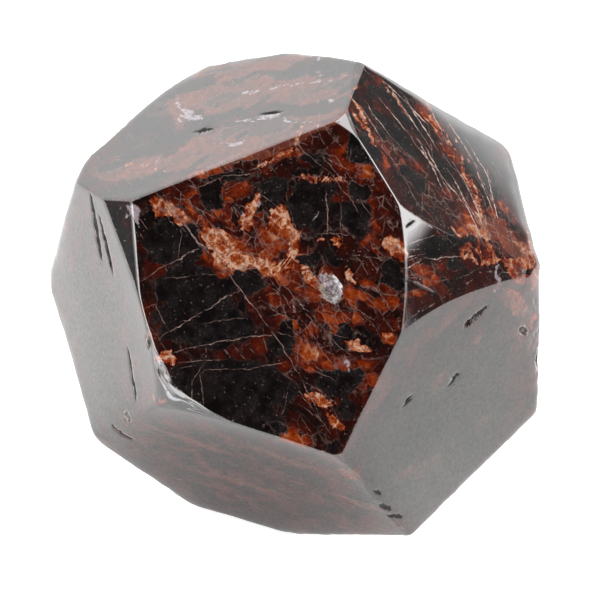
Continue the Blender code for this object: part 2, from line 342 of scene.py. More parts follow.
# Lumps by stuff and facet: across, up, length, width, turn.
BLOTCHES: dict[tuple[Stuff, Side], tuple] = {
    (Stuff.WINDOW, Side.FRONT): (
        (-8.7, 2.1, 6.2, 4.6, 1), (-5.7, -1.7, 8.7, 4.6, 6), (-3.9, -5.1, 10.5, 4.4, 7),
        (-0.2, -10.4, 13.9, 5.5, 10), (0.9, -12.8, 8.1, 3.6, 14), (-0.7, 0.1, 3.9, 2.6, 8),
        (0.0, 9.4, 2.8, 2.8, 16), (4.1, 8.4, 4.8, 4.8, 7), (8.2, 8.4, 4.1, 3.0, 169),
        (3.0, 12.8, 2.5, 1.3, 178), (-5.9, 7.3, 2.6, 2.6, 22), (-4.4, 9.7, 6.2, 1.0, 20),
        (5.0, 3.3, 2.1, 2.0, 24), (7.3, 4.0, 2.1, 1.5, 163), (13.3, 3.6, 2.9, 2.4, 141),
        (11.3, -13.9, 1.6, 1.6, 12), (4.4, -3.8, 2.3, 1.7, 162), (8.7, 10.9, 2.6, 1.6, 163),
        (10.6, -7.6, 4.8, 2.4, 21), (9.9, -3.4, 2.8, 2.8, 146), (-1.1, 7.0, 2.4, 0.7, 16),
        (11.6, -9.8, 1.9, 1.8, 148), (3.9, -5.5, 3.1, 1.5, 166), (-0.3, -13.1, 12.7, 5.0, 178),
        (-1.1, -10.1, 10.9, 3.0, 180),
    ),
    (Stuff.WINE, Side.FRONT): (
        (4.2, 14.8, 4.6, 1.9, 32), (11.6, 8.8, 5.4, 2.2, 123), (10.9, 3.9, 3.2, 2.6, 175),
        (1.0, -1.6, 3.4, 1.8, 145), (-10.1, -1.5, 2.5, 2.0, 148), (7.4, 13.9, 1.9, 1.2, 130),
        (-8.8, 7.8, 3.7, 1.4, 29), (-3.1, 11.1, 3.6, 1.0, 29), (6.4, 11.4, 2.3, 1.4, 131),
        (8.9, 5.8, 2.6, 1.6, 151), (12.5, -1.1, 3.4, 2.2, 151), (14.1, -3.8, 1.7, 1.6, 51),
        (8.0, -4.6, 5.3, 1.6, 177), (11.9, 11.8, 4.5, 3.0, 131), (4.7, 17.1, 4.2, 2.6, 151),
        (0.8, -2.4, 3.4, 2.0, 155), (-3.7, 10.5, 22.4, 1.0, 32),
    ),
    (Stuff.AMBER, Side.FRONT): (
        (-3.6, 8.8, 3.4, 1.4, 43), (1.0, 4.7, 2.7, 2.6, 11), (4.2, 0.7, 2.9, 1.7, 169),
        (7.7, -1.4, 2.2, 1.2, 6), (6.6, -3.3, 2.1, 1.0, 24), (7.7, -5.7, 4.4, 2.0, 0),
        (8.9, -5.8, 1.4, 1.0, 174), (0.6, 12.7, 3.6, 1.2, 37), (9.7, 0.8, 2.6, 1.4, 131),
        (13.5, -6.8, 2.2, 0.9, 65), (6.7, -13.8, 5.3, 1.6, 176), (8.6, 12.5, 1.8, 0.8, 142),
        (-7.2, 5.1, 2.5, 1.3, 164), (8.3, 12.5, 1.4, 0.8, 29), (15.7, 0.8, 1.8, 0.9, 22),
        (9.9, 6.4, 2.3, 1.2, 50), (-10.2, 5.4, 2.0, 1.2, 148), (-3.2, 1.1, 1.1, 0.8, 140),
        (-1.3, 2.9, 4.3, 1.6, 156), (5.9, 0.0, 2.8, 1.2, 168), (9.6, -1.3, 3.7, 1.2, 170),
        (-6.7, 10.0, 7.2, 0.9, 26), (1.1, 4.7, 4.2, 3.8, 17), (7.9, -6.4, 3.9, 2.6, 5),
        (8.3, -1.7, 3.0, 2.0, 16), (-3.6, 8.6, 3.3, 1.8, 35), (10.1, 0.7, 1.9, 1.6, 32),
    ),
    (Stuff.RIND, Side.FRONT): (
        (-3.5, 2.8, 6.6, 2.4, 148), (1.0, 1.8, 5.3, 1.5, 179), (-1.9, 6.8, 3.6, 1.5, 77),
        (1.3, 6.7, 2.9, 2.2, 162), (3.3, 4.2, 3.4, 1.2, 108), (3.8, 11.1, 5.6, 0.8, 2),
        (-9.8, 5.1, 3.9, 1.6, 166), (13.1, 6.1, 2.8, 1.6, 137), (5.5, 1.6, 3.1, 1.2, 156),
        (6.9, 5.4, 2.9, 0.7, 178), (-7.1, -8.9, 2.1, 1.1, 12), (9.2, 2.4, 1.9, 1.0, 128),
        (10.8, -11.6, 2.0, 1.2, 136), (0.0, 12.9, 4.6, 0.7, 31), (14.4, -2.5, 2.3, 1.1, 178),
        (11.6, -4.1, 3.2, 0.9, 177), (8.7, -9.8, 4.2, 0.9, 176),
    ),
    (Stuff.CHALK, Side.FRONT): (
        (7.8, 1.2, 3.2, 1.2, 127), (-0.7, 7.7, 1.2, 0.7, 175), (-2.5, 6.3, 1.3, 0.5, 134),
        (4.5, -1.6, 1.4, 0.5, 30), (10.7, -5.9, 1.2, 0.5, 124), (0.2, 6.0, 0.8, 0.6, 27),
        (4.9, 7.1, 0.7, 0.7, 83), (-13.6, 4.2, 0.7, 0.5, 11),
    ),
    (Stuff.WINDOW, Side.UPPER_RIGHT): (
        (4.0, 10.5, 2.2, 1.6, 70), (3.9, 6.6, 6.5, 3.0, 69), (0.0, 7.0, 6.8, 2.0, 76),
        (-3.4, 3.9, 3.7, 1.8, 61), (7.5, -1.3, 5.5, 5.5, 54), (3.5, -4.8, 3.0, 3.0, 64),
        (0.7, 0.4, 4.4, 1.2, 73), (5.6, -7.3, 3.4, 2.2, 47), (-6.1, -3.3, 4.1, 0.9, 127),
    ),
    (Stuff.WINE, Side.UPPER_RIGHT): (
        (-2.4, -9.0, 2.4, 1.8, 71), (-4.8, 6.2, 5.9, 1.9, 48), (-4.2, 0.0, 4.6, 2.4, 48),
        (2.3, 2.1, 2.8, 1.6, 67), (-2.6, 10.0, 2.7, 1.2, 64), (2.0, -6.6, 4.0, 2.6, 35),
        (-4.6, -1.9, 3.6, 1.6, 70), (3.5, -8.1, 5.7, 2.0, 24),
    ),
    (Stuff.AMBER, Side.UPPER_RIGHT): (
        (-4.6, -2.7, 1.9, 1.2, 90), (-4.4, 7.0, 2.6, 1.0, 57), (-3.2, -5.3, 2.2, 1.6, 89),
        (2.4, -6.6, 2.0, 1.4, 51), (-8.8, -4.6, 2.3, 1.0, 107), (-4.7, -2.6, 1.6, 1.1, 126),
    ),
    (Stuff.RIND, Side.UPPER_RIGHT): (
        (-2.1, 10.1, 5.2, 0.7, 63), (-2.3, -5.3, 7.6, 0.8, 39), (7.2, 4.5, 5.1, 0.5, 43),
        (2.2, -2.1, 6.2, 0.5, 46), (-5.3, -7.1, 2.8, 0.8, 118), (-1.1, -9.6, 3.3, 0.9, 61),
        (1.3, -10.5, 3.2, 0.6, 35), (4.4, 1.1, 6.4, 0.3, 56), (-1.4, -3.9, 9.6, 0.5, 28),
        (-5.3, -3.1, 4.1, 0.5, 127), (-0.1, 11.5, 3.7, 0.7, 44), (4.1, 7.5, 5.4, 0.4, 56),
        (4.7, 3.5, 9.9, 0.3, 59), (5.5, -0.1, 5.4, 0.3, 66), (3.3, -3.3, 8.7, 0.4, 53),
        (-0.6, -11.0, 3.0, 1.7, 96), (-3.1, -10.5, 5.1, 1.8, 127),
    ),
    (Stuff.FIRE, Side.FRONT): (
        (-2.1, 4.1, 19.1, 7.5, 157), (6.2, -0.7, 11.3, 7.5, 152), (7.9, -5.3, 6.0, 4.5, 175),
        (-3.1, 11.4, 17.4, 2.6, 28), (8.6, 11.5, 12.6, 3.2, 138), (12.7, 2.1, 9.9, 4.2, 119),
        (7.1, -13.9, 7.4, 2.4, 178), (12.3, -6.8, 3.8, 3.0, 166),
    ),
    (Stuff.FIRE, Side.UPPER_RIGHT): (
        (-2.6, 4.5, 11.8, 3.4, 73), (-1.7, -5.7, 13.1, 6.5, 101), (4.9, 2.8, 8.1, 2.2, 55),
    ),
    (Stuff.FIRE, Side.SMALL_TRIANGLE): ((0.3, -1.2, 6.0, 2.6, 150),),
    (Stuff.WINDOW, Side.LEFT_CORNER): ((-7.1, 2.6, 6.9, 1.6, 144),),
    (Stuff.CHALK, Side.LEFT_CORNER): ((-6.7, 4.9, 2.2, 0.8, 142),),
    (Stuff.ROSE, Side.LOWER_RIGHT): (
        (-4.7, -8.2, 7.9, 1.6, 167), (-1.3, -0.1, 4.7, 1.2, 34), (9.3, 3.7, 5.7, 1.4, 132),
        (0.5, 6.0, 2.3, 0.8, 12), (4.0, -7.7, 3.4, 1.0, 13),
    ),
    (Stuff.ROSE, Side.BOTTOM_FRONT): (
        (-3.2, 3.8, 9.9, 1.2, 173), (2.5, -3.3, 11.4, 1.4, 0), (8.0, 5.8, 9.7, 1.0, 171),
        (14.0, 0.4, 6.1, 1.6, 170),
    ),
    (Stuff.ROSE, Side.TOP): (
        (-10.8, 3.0, 21.3, 2.6, 75), (2.7, 2.1, 30.4, 4.6, 85), (-5.7, 3.8, 25.3, 5.0, 78),
        (-9.9, 2.1, 6.9, 2.0, 101), (-6.1, -4.3, 8.2, 2.2, 6), (0.4, 3.6, 14.3, 2.4, 81),
        (4.3, 2.4, 16.2, 2.6, 76), (-2.6, 9.6, 13.2, 2.6, 72), (0.6, 2.3, 4.3, 1.4, 33),
        (2.3, -8.7, 7.7, 1.8, 88), (1.8, 12.2, 5.7, 1.6, 80),
    ),
    (Stuff.WINDOW, Side.TOP): (
        (-7.3, -8.0, 5.0, 5.0, 158), (-0.5, -10.3, 4.0, 2.0, 140), (0.8, 5.3, 9.3, 2.6, 79),
        (-6.3, 0.6, 7.0, 1.7, 84), (-11.6, -0.1, 4.0, 1.2, 81), (-6.8, 10.0, 12.4, 1.7, 76),
        (-3.2, 0.3, 4.9, 1.0, 88), (-3.3, 13.4, 5.0, 1.4, 74),
    ),
    (Stuff.CHALK, Side.TOP): (
        (-5.3, -3.4, 2.5, 0.9, 32), (-4.1, -2.2, 2.3, 0.9, 71), (2.1, 2.1, 2.2, 0.8, 49),
        (2.5, 3.4, 1.7, 0.8, 103), (-6.1, 3.4, 2.2, 1.0, 80), (-0.5, 6.1, 4.0, 0.5, 64),
        (2.1, -5.5, 3.3, 0.5, 15), (-0.2, 13.1, 0.8, 0.5, 79), (0.9, 0.5, 1.9, 0.3, 72),
        (-6.2, -4.5, 8.3, 0.3, 7), (-3.0, 11.2, 12.1, 0.2, 6), (-5.2, 8.3, 8.2, 0.2, 81),
        (-1.6, 3.3, 4.9, 0.2, 75), (0.3, 7.3, 5.6, 0.2, 56),
    ),
    (Stuff.RIND, Side.TOP): (
        (3.5, 9.8, 2.4, 0.7, 163), (-1.6, 15.7, 1.7, 0.8, 90), (2.7, 1.8, 1.1, 0.5, 143),
        (1.9, -7.1, 9.3, 0.5, 51),
    ),
    (Stuff.WINDOW, Side.SMALL_TRIANGLE): (
        (2.3, 0.8, 4.4, 1.5, 164), (3.8, -1.6, 2.2, 1.3, 161),
    ),
    (Stuff.AMBER, Side.SMALL_TRIANGLE): (
        (0.4, -1.1, 3.2, 1.4, 143), (5.7, -1.0, 1.5, 1.1, 127), (-1.9, -2.3, 3.2, 1.4, 163),
    ),
    (Stuff.WINE, Side.SMALL_TRIANGLE): (
        (-1.4, 0.6, 1.4, 0.9, 173), (2.9, -2.0, 3.0, 1.4, 163), (-2.2, -3.5, 3.3, 1.6, 179),
    ),
    (Stuff.RIND, Side.SMALL_TRIANGLE): (
        (5.8, -2.0, 1.9, 0.7, 118), (-2.0, -0.3, 1.2, 0.5, 112),
    ),
    (Stuff.CHALK, Side.UPPER_RIGHT): ((-7.1, -7.1, 0.7, 0.7, 82),),
    (Stuff.CHALK, Side.LOWER_RIGHT): ((7.8, 7.9, 2.1, 0.4, 63),),
    (Stuff.RIND, Side.LOWER_RIGHT): (
        (-6.2, -7.6, 1.9, 1.2, 2), (-1.1, 0.3, 2.4, 1.0, 12), (4.2, 2.1, 1.7, 1.0, 18),
        (9.5, 3.7, 4.7, 1.6, 116), (11.0, 5.9, 5.1, 1.5, 132),
    ),
    (Stuff.RIND, Side.BOTTOM_FRONT): (
        (-10.5, 3.4, 1.4, 0.7, 137), (14.6, 7.2, 2.6, 1.4, 12),
    ),
    (Stuff.RIND, Side.LEFT): ((9.6, -1.7, 3.4, 0.6, 31),),
    (Stuff.ROSE, Side.UPPER_RIGHT): ((-1.7, -7.6, 7.4, 2.8, 98),),
}

# Cracks by kind and facet: from across, up, to across, up.
CRACKS: dict[tuple[Seam, Side], tuple] = {
    (Seam.BOLD, Side.FRONT): (
        (-11.5, 6.7, -3.0, 0.5), (-3.0, 0.6, 3.0, -4.4), (2.8, -4.1, 6.7, -8.1), (-6.2, 2.2, -8.5, 0.3),
        (-8.0, -7.1, -4.6, -4.0), (-4.8, -4.2, -1.4, -1.0), (-6.6, -8.3, -1.5, -6.1), (-1.9, -6.2, 2.9, -4.5),
        (5.2, 10.3, 6.2, 6.1),
    ),
    (Seam.FINE, Side.FRONT): (
        (6.4, -7.8, 9.8, -12.1), (-10.9, 6.9, -8.0, 3.7), (1.2, -1.5, 4.7, -3.7), (9.1, 0.4, 12.3, -1.0),
        (-1.8, 6.3, -0.1, 4.3), (-10.3, 6.6, -6.1, 2.5), (-9.2, 5.3, -5.1, 1.7), (-8.5, 0.4, -11.2, -2.0),
        (-8.0, 0.8, -8.3, 3.8), (-9.4, -3.9, -7.3, -6.4), (-10.4, -4.7, -9.3, -3.9), (-5.8, -9.0, -1.3, -7.9),
        (-3.4, -6.8, -3.1, -8.4), (-3.0, -8.4, -3.9, -10.6), (-4.0, -10.5, -3.6, -13.0),
        (-3.3, -9.7, -2.2, -13.1), (-3.1, -9.3, 1.1, -8.4), (0.9, -8.5, 4.8, -6.8), (2.8, 0.6, 7.4, -2.8),
        (7.2, -2.6, 10.1, -4.6), (2.1, -3.0, 5.2, -1.7), (6.5, -7.1, 10.0, -7.5), (4.4, -5.8, 8.8, -4.4),
        (6.7, -8.2, 10.6, -9.8), (-8.2, 7.6, -5.2, 9.7), (-5.4, 9.7, -1.7, 10.6), (-8.9, 6.6, -4.8, 5.4),
        (-10.1, 7.7, -8.7, 7.1), (2.0, 13.6, 5.4, 11.9), (5.2, 12.1, 6.7, 10.6), (3.6, 13.6, 7.5, 12.5),
        (6.7, 10.8, 8.9, 8.8), (5.3, 6.0, 8.6, 6.5), (8.4, 6.5, 11.6, 5.9), (1.5, 8.2, 3.6, 5.4),
        (-1.9, 8.9, 0.6, 7.8), (-0.8, 13.5, -0.5, 12.2), (12.9, 0.1, 14.3, 0.6), (-2.8, 0.7, 0.5, 1.6),
        (-2.5, 3.0, 0.4, 2.2),
    ),
    (Seam.FAINT, Side.FRONT): (
        (4.7, -3.7, 7.7, -5.3), (7.5, -3.1, 10.7, -3.3), (1.2, 4.9, 2.7, 2.6), (-10.9, 5.6, -8.8, 3.7),
        (-9.4, -1.4, -2.9, 0.4), (-9.8, -1.5, -9.2, -3.8), (-4.3, -4.8, 0.1, -3.3), (-5.5, -9.5, -3.8, -9.0),
        (5.5, -8.5, 5.5, -12.3), (1.8, -3.9, 2.7, -6.5), (3.0, -4.1, 5.5, -4.4), (-5.1, 8.2, -2.9, 9.7),
        (1.1, 10.9, 1.6, 8.2), (8.4, 10.3, 10.4, 8.5), (6.6, 14.9, 6.9, 13.0), (6.8, 9.6, 7.8, 5.6),
        (-2.9, 5.2, -1.0, 5.6), (5.7, 4.2, 6.8, 2.9), (8.4, 4.5, 12.0, 4.9), (10.4, 2.0, 13.1, 1.5),
        (-2.3, 1.6, 0.7, 0.9), (7.1, -10.7, 9.1, -11.5), (-0.9, 4.9, -0.2, 2.0), (-12.1, 1.4, -9.7, 0.1),
        (-7.6, 11.8, -6.5, 10.0),
    ),
    (Seam.BOLD, Side.SMALL_TRIANGLE): (
        (-1.0, 2.4, 1.4, 2.0), (-1.5, 1.4, -0.2, 1.1), (-1.9, 0.5, 0.4, 0.3), (0.2, 0.4, 5.2, -1.6),
    ),
    (Seam.FINE, Side.SMALL_TRIANGLE): (
        (-1.8, 1.1, 0.9, 0.7), (-2.8, -1.7, -0.1, -2.3), (1.1, 2.0, 2.9, 1.8), (-1.1, 2.0, 0.6, 1.3),
        (-2.3, -0.2, -0.7, -0.7), (-2.3, -0.5, -0.6, -1.1), (0.3, -2.2, 3.0, -3.0), (2.9, -3.1, 6.5, -3.5),
    ),
    (Seam.BROAD, Side.UPPER_RIGHT): (
        (6.2, 7.8, 2.6, 2.5), (7.8, 2.4, 4.5, -2.8), (7.4, -0.2, 4.2, -4.8), (5.6, 9.0, 2.0, 3.2),
        (1.9, 4.8, -2.3, 0.0), (2.3, 0.0, -0.9, -4.3), (5.4, -1.8, -0.1, -6.1), (-0.2, -1.2, -4.6, -5.7),
        (0.8, 0.2, -2.4, -4.1), (5.1, -4.0, -1.0, -7.1), (1.5, 3.6, -1.8, -0.5), (6.0, 10.2, 5.3, 7.0),
        (5.5, 7.3, 4.6, 3.8), (9.2, 6.2, 4.9, 2.0), (0.4, 11.4, -1.6, 8.2), (3.5, 10.1, 1.3, 5.7),
        (1.6, 6.1, -0.3, 1.8), (0.0, 2.2, -1.9, -2.7), (1.3, 11.1, -0.5, 7.4), (0.9, -2.3, -2.8, -5.3),
    ),
    (Seam.FINE, Side.UPPER_RIGHT): (
        (4.4, -6.7, -2.6, -9.4), (4.1, -3.1, 0.9, -6.1), (-2.6, 1.2, -4.3, -2.2), (-5.4, 4.0, -6.7, 0.2),
        (4.8, 4.0, 0.3, 2.2), (5.2, 2.3, 1.6, -2.6), (-1.6, 8.5, -4.3, 5.1), (-3.9, 5.4, -6.7, 1.8),
        (-0.4, 7.7, -2.0, 1.9), (-4.0, 2.3, -8.0, 1.5), (4.6, 3.6, 3.5, -0.3), (3.8, 0.1, 1.2, -4.1),
        (4.7, 0.8, 0.8, -4.7), (1.2, -3.8, -2.5, -6.9), (2.4, -3.0, -1.1, -6.0), (-7.4, -1.3, -4.0, -5.1),
        (-2.3, 11.8, -3.0, 10.2),
    ),
    (Seam.FAINT, Side.UPPER_RIGHT): (
        (-7.6, 2.7, -6.9, -1.2), (-1.6, 6.6, -4.5, 2.1), (-2.0, 2.2, -2.5, -1.4), (7.0, -3.3, 3.9, -6.8),
        (9.0, 3.8, 6.9, 0.0), (0.8, -5.3, -4.1, -8.9), (6.0, -4.9, -0.3, -7.5), (2.4, 1.1, -0.5, -3.7),
    ),
    (Seam.FINE, Side.LOWER_RIGHT): ((-4.3, 13.4, 0.1, 9.5),),
}


@dataclass(frozen=True)
class Strewing:
    """Lumps scattered at random over facets that have none of their own, in mm and degrees.

    Attributes:
        seed: Starts the random draws.
        reach: How far across and up from the foot of a facet's normal they lie, at most.
        slimness: Least and greatest width, as a share of the length.
        turn: Their mean turn.
        turn_spread: The standard deviation of the turns.
        counts: For each stuff how many a facet gets, and their least and greatest length.
    """

    seed: int = 8
    reach: float = 9.0
    slimness: tuple[float, float] = (0.35, 0.75)
    turn: float = 50.0
    turn_spread: float = 30.0
    counts: tuple = (
        (Stuff.WINDOW, 4, 3.5, 8.0),
        (Stuff.WINE, 4, 2.5, 6.0),
        (Stuff.AMBER, 4, 1.5, 4.0),
        (Stuff.RIND, 3, 1.5, 4.0),
        (Stuff.FIRE, 2, 6.0, 14.0),
    )

    def lumps(self, sides: Sequence[Side]) -> dict[Stuff, list[Blotch]]:
        """Scatter the lumps.

        Args:
            sides: The facets that get lumps.

        Returns:
            The lumps of each stuff; some lists are empty.
        """
        draw = np.random.default_rng(self.seed)
        lumps: dict[Stuff, list[Blotch]] = {stuff: [] for stuff in Stuff}
        for side in sides:
            for stuff, count, least, most in self.counts:
                for _ in range(count):
                    across, up = draw.uniform(-self.reach, self.reach, 2)
                    length = draw.uniform(least, most)
                    width = length * draw.uniform(*self.slimness)
                    turn = draw.normal(self.turn, self.turn_spread)
                    lumps[stuff].append(Blotch(side, across, up, length, width, turn))
        return lumps


def ramp(values: np.ndarray, low: float, high: float) -> np.ndarray:
    """Smooth step: 0 at or below low, 1 at or above high, 3t^2 - 2t^3 between."""
    share = np.clip((values - low) / (high - low), 0.0, 1.0)
    return share * share * (3.0 - 2.0 * share)


def ripple(points: np.ndarray, wavelength: float, seed: int, waves: int = 7) -> np.ndarray:
    """Smooth noise, mostly between -1 and 1: sine waves in random directions, added up.

    Each wave is sin(2 pi direction . point / length + phase), with a length near
    the one given and the directions and phases drawn from the seed. The sum is
    divided by the root of twice the number of waves.

    Args:
        points: Places, one row each.
        wavelength: The waves' usual length, in mm.
        seed: Starts the random draws.
        waves: How many waves are added up.

    Returns:
        One number for each place.
    """
    draw = np.random.default_rng(seed)
    directions = draw.normal(size=(waves, 3))
    directions /= np.linalg.norm(directions, axis=1, keepdims=True)
    directions *= 2.0 * math.pi / (wavelength * draw.uniform(0.7, 1.4, (waves, 1)))
    phases = draw.uniform(0.0, 2.0 * math.pi, waves)
    return np.sin(points @ directions.T + phases).sum(axis=1) / math.sqrt(waves * 2.0)


def ripples(points: np.ndarray, layers: Sequence[tuple[float, float, int]]) -> np.ndarray:
    """Smooth noises added up, each with its strength, its wavelength in mm and its seed."""
    return sum(strength * ripple(points, wavelength, seed) for strength, wavelength, seed in layers)


@dataclass
class Solid:
    """The sharp-edged stone: the corners and edges that the facet planes enclose.

    Three planes meet in a point where their normals' determinant passes least_turn.
    A point counts as on a plane, or not outside it, within touch and snap, in mm.
    No facet faces along askew, so its cross product with a normal is never nothing.
    """

    facets: Mapping[Side, Facet]
    least_turn: float = 1e-4
    touch: float = 1e-5
    snap: float = 1e-6
    askew: tuple[float, float, float] = (0.31, 0.52, 0.79)

    def __post_init__(self) -> None:
        """Work out the planes' normals and distances as arrays, and the corners."""
        self.names = list(self.facets)
        self.normals = np.array([facet.normal() for facet in self.facets.values()])
        self.distances = np.array([facet.distance for facet in self.facets.values()])
        self.corners = self.meetings()

    def meetings(self) -> np.ndarray:
        """Find the points where three planes meet and no other plane cuts them off.

        Returns:
            One row for each corner, x, y, z.
        """
        triples = np.array(list(itertools.combinations(range(len(self.distances)), 3)))
        systems = self.normals[triples]
        solvable = np.abs(np.linalg.det(systems)) > self.least_turn
        triples, systems = triples[solvable], systems[solvable]
        meeting = np.linalg.solve(systems, self.distances[triples][..., None])[..., 0]
        inside = np.all(meeting @ self.normals.T <= self.distances + self.snap, axis=1)
        return meeting[inside]

    def outline(self, number: int) -> np.ndarray:
        """Put a facet's corners in order round its outward normal.

        Args:
            number: The facet's place in the list.

        Returns:
            One row for each corner.
        """
        normal = self.normals[number]
        rim = self.corners[np.abs(self.corners @ normal - self.distances[number]) < self.touch]
        middle = rim.mean(axis=0)
        first = np.cross(normal, self.askew)
        second = np.cross(normal, first)
        angles = np.arctan2((rim - middle) @ second, (rim - middle) @ first)
        return rim[np.argsort(angles)]

    def edge(self, pair: list[int]) -> np.ndarray:
        """The corners that lie on both of two facets: two rows where they share an edge."""
        off = np.abs(self.corners @ self.normals[pair].T - self.distances[pair]).max(axis=1)
        return self.corners[off < self.touch]

    def gaps(self, points: np.ndarray) -> np.ndarray:
        """How far inside each plane each point lies: a row for each point, in mm."""
        return self.distances - points @ self.normals.T


@dataclass(frozen=True)
class Dome:
    """A slight bulge of a facet: its middle, how fast it falls away, and its lift in mm."""

    across: float
    up: float
    curve: float
    lift: float
    widest: float = 200.0

    def rise(self, flat: np.ndarray) -> np.ndarray:
        """Lift - curve * squared distance from the middle, which counts up to the widest."""
        square = ((flat - [self.across, self.up]) ** 2).sum(axis=1)
        return self.lift - self.curve * np.minimum(square, self.widest)


# Bulges, by facet.
DOMES = {
    Side.UPPER_RIGHT: Dome(-2.0, 0.0, 0.0026, 0.28),
    Side.SMALL_TRIANGLE: Dome(1.0, 3.0, 0.0085, 0.32),
    Side.LOWER_CORNER: Dome(0.5, -4.5, 0.0020, 0.14),
}

# How far a facet's side away from the front stands out, in mm.
SWELLS = {
    Side.UPPER_RIGHT: 0.65,
    Side.LOWER_RIGHT: 0.50,
    Side.BOTTOM_FRONT: 0.35,
    Side.LEFT: 0.42,
    Side.UNDER_LEFT: 0.20,
    Side.BACK_LEFT: -0.15,
    Side.CROWN_LEFT: 0.60,
    Side.CROWN_BACK: 0.35,
    Side.LEFT_SHOULDER: 0.50,
    Side.RIGHT_STRIP: 0.55,
}

# How far a facet's skin hides what lies under it, from 0 to 1.
CALM = {
    Side.LOWER_RIGHT: 0.95,
    Side.BOTTOM_FRONT: 0.70,
    Side.LEFT: 0.90,
    Side.RIGHT_STRIP: 0.60,
    Side.TOP: 0.08,
    Side.BACK_LEFT: 0.40,
    Side.UNDER_RIGHT: 0.50,
    Side.REST: 0.60,
}

# How much a facet's gloss is rubbed down, from 0 to 1.
SATIN = {
    Side.BOTTOM_FRONT: 0.52,
    Side.LOWER_RIGHT: 0.14,
    Side.LEFT: 0.16,
}

# Edges that are rounder (below 1) or crisper (above 1) than the rest.
EDGE_EASE = {
    (Side.FRONT, Side.UPPER_RIGHT): 0.80,
    (Side.FRONT, Side.LOWER_CORNER): 0.42,
    (Side.LEFT, Side.LOWER_CORNER): 0.60,
    (Side.BOTTOM_FRONT, Side.LOWER_CORNER): 0.60,
    (Side.UPPER_RIGHT, Side.SMALL_TRIANGLE): 1.60,
    (Side.FRONT, Side.BOTTOM_FRONT): 0.80,
    (Side.UPPER_RIGHT, Side.LOWER_RIGHT): 2.50,
    (Side.SMALL_TRIANGLE, Side.LOWER_RIGHT): 1.60,
    (Side.UPPER_RIGHT, Side.BACK_RIGHT): 0.75,
    (Side.UPPER_RIGHT, Side.RIGHT_FLANK): 0.75,
}


@dataclass(frozen=True)
class Nicks:
    """Small flat chips along the edges, in mm: finer ones on the crisp edges by the front.

    A chip is a plane square to the mean of its two facets' normals, a little way
    below the edge's ridge; it presses the points above it down, within its length.

    Attributes:
        seed: Starts the random draws.
        spacing: How far apart the chips are along an edge.
        crisp_cosine: An edge that faces the front by more than this is crisp.
        crisp_size: Least and greatest half length of a chip on a crisp edge.
        worn_size: The same on a worn edge.
        crisp_depth: The chips' depth on a crisp edge.
        worn_depth: The same on a worn edge.
        depth_spread: Least and greatest share of that depth.
        ends: Where the chips start and stop along an edge, as shares of its length.
        reach: How far from both facets a chip can press.
        ridge_reach: How far along the edge the ridge's height is looked for.
        raggedness: Noise in the chips' depth.
        unchipped: Facets whose edges have no chips.
    """

    seed: int = 5
    spacing: float = 2.6
    crisp_cosine: float = 0.8
    crisp_size: tuple[float, float] = (0.3, 0.7)
    worn_size: tuple[float, float] = (0.5, 2.2)
    crisp_depth: float = 0.02
    worn_depth: float = 0.07
    depth_spread: tuple[float, float] = (0.5, 1.6)
    ends: tuple[float, float] = (0.04, 0.96)
    reach: float = 2.0
    ridge_reach: float = 0.5
    raggedness: tuple = ((0.5, 0.8, 21),)
    unchipped: tuple[Side, ...] = (Side.FRONT, Side.SMALL_TRIANGLE, Side.LEFT_CORNER, Side.UPPER_RIGHT,
                                   Side.LEFT, Side.LOWER_CORNER)

    def knock(self, solid: Solid, points: np.ndarray) -> np.ndarray:
        """Knock the chips off the edges.

        Args:
            solid: The sharp-edged stone.
            points: Places on the surface.

        Returns:
            The places, moved.
        """
        draw = np.random.default_rng(self.seed)
        ragged = 0.75 + ripples(points, self.raggedness)
        gaps = np.abs(solid.gaps(points))
        moved = points.copy()
        for pair in map(list, itertools.combinations(range(len(solid.names)), 2)):
            ends = solid.edge(pair)
            if len(ends) != 2 or any(solid.names[number] in self.unchipped for number in pair):
                continue
            run = ends[1] - ends[0]
            length = float(np.linalg.norm(run))
            mean = solid.normals[pair].sum(axis=0)
            mean /= np.linalg.norm(mean)
            crisp = float(mean @ FACETS[Side.FRONT].normal()) > self.crisp_cosine
            near = gaps[:, pair].max(axis=1) < self.reach
            for place in draw.uniform(*self.ends, max(1, int(length / self.spacing))):
                size = draw.uniform(*(self.crisp_size if crisp else self.worn_size))
                depth = (self.crisp_depth if crisp else self.worn_depth) * draw.uniform(*self.depth_spread)
                away = points[near] - (ends[0] + run * place)
                offset = away @ (run / length)
                fade = ramp(1.0 - (offset / size) ** 2, 0.0, 0.5) * ragged[near]
                height = away @ mean
                ridge = height[np.abs(offset) < self.ridge_reach].max(initial=-9.0)
                above = np.clip(height - ridge + depth, 0.0, depth)
                moved[near] -= (above * np.clip(fade, 0.0, 1.0))[:, None] * mean
        return moved


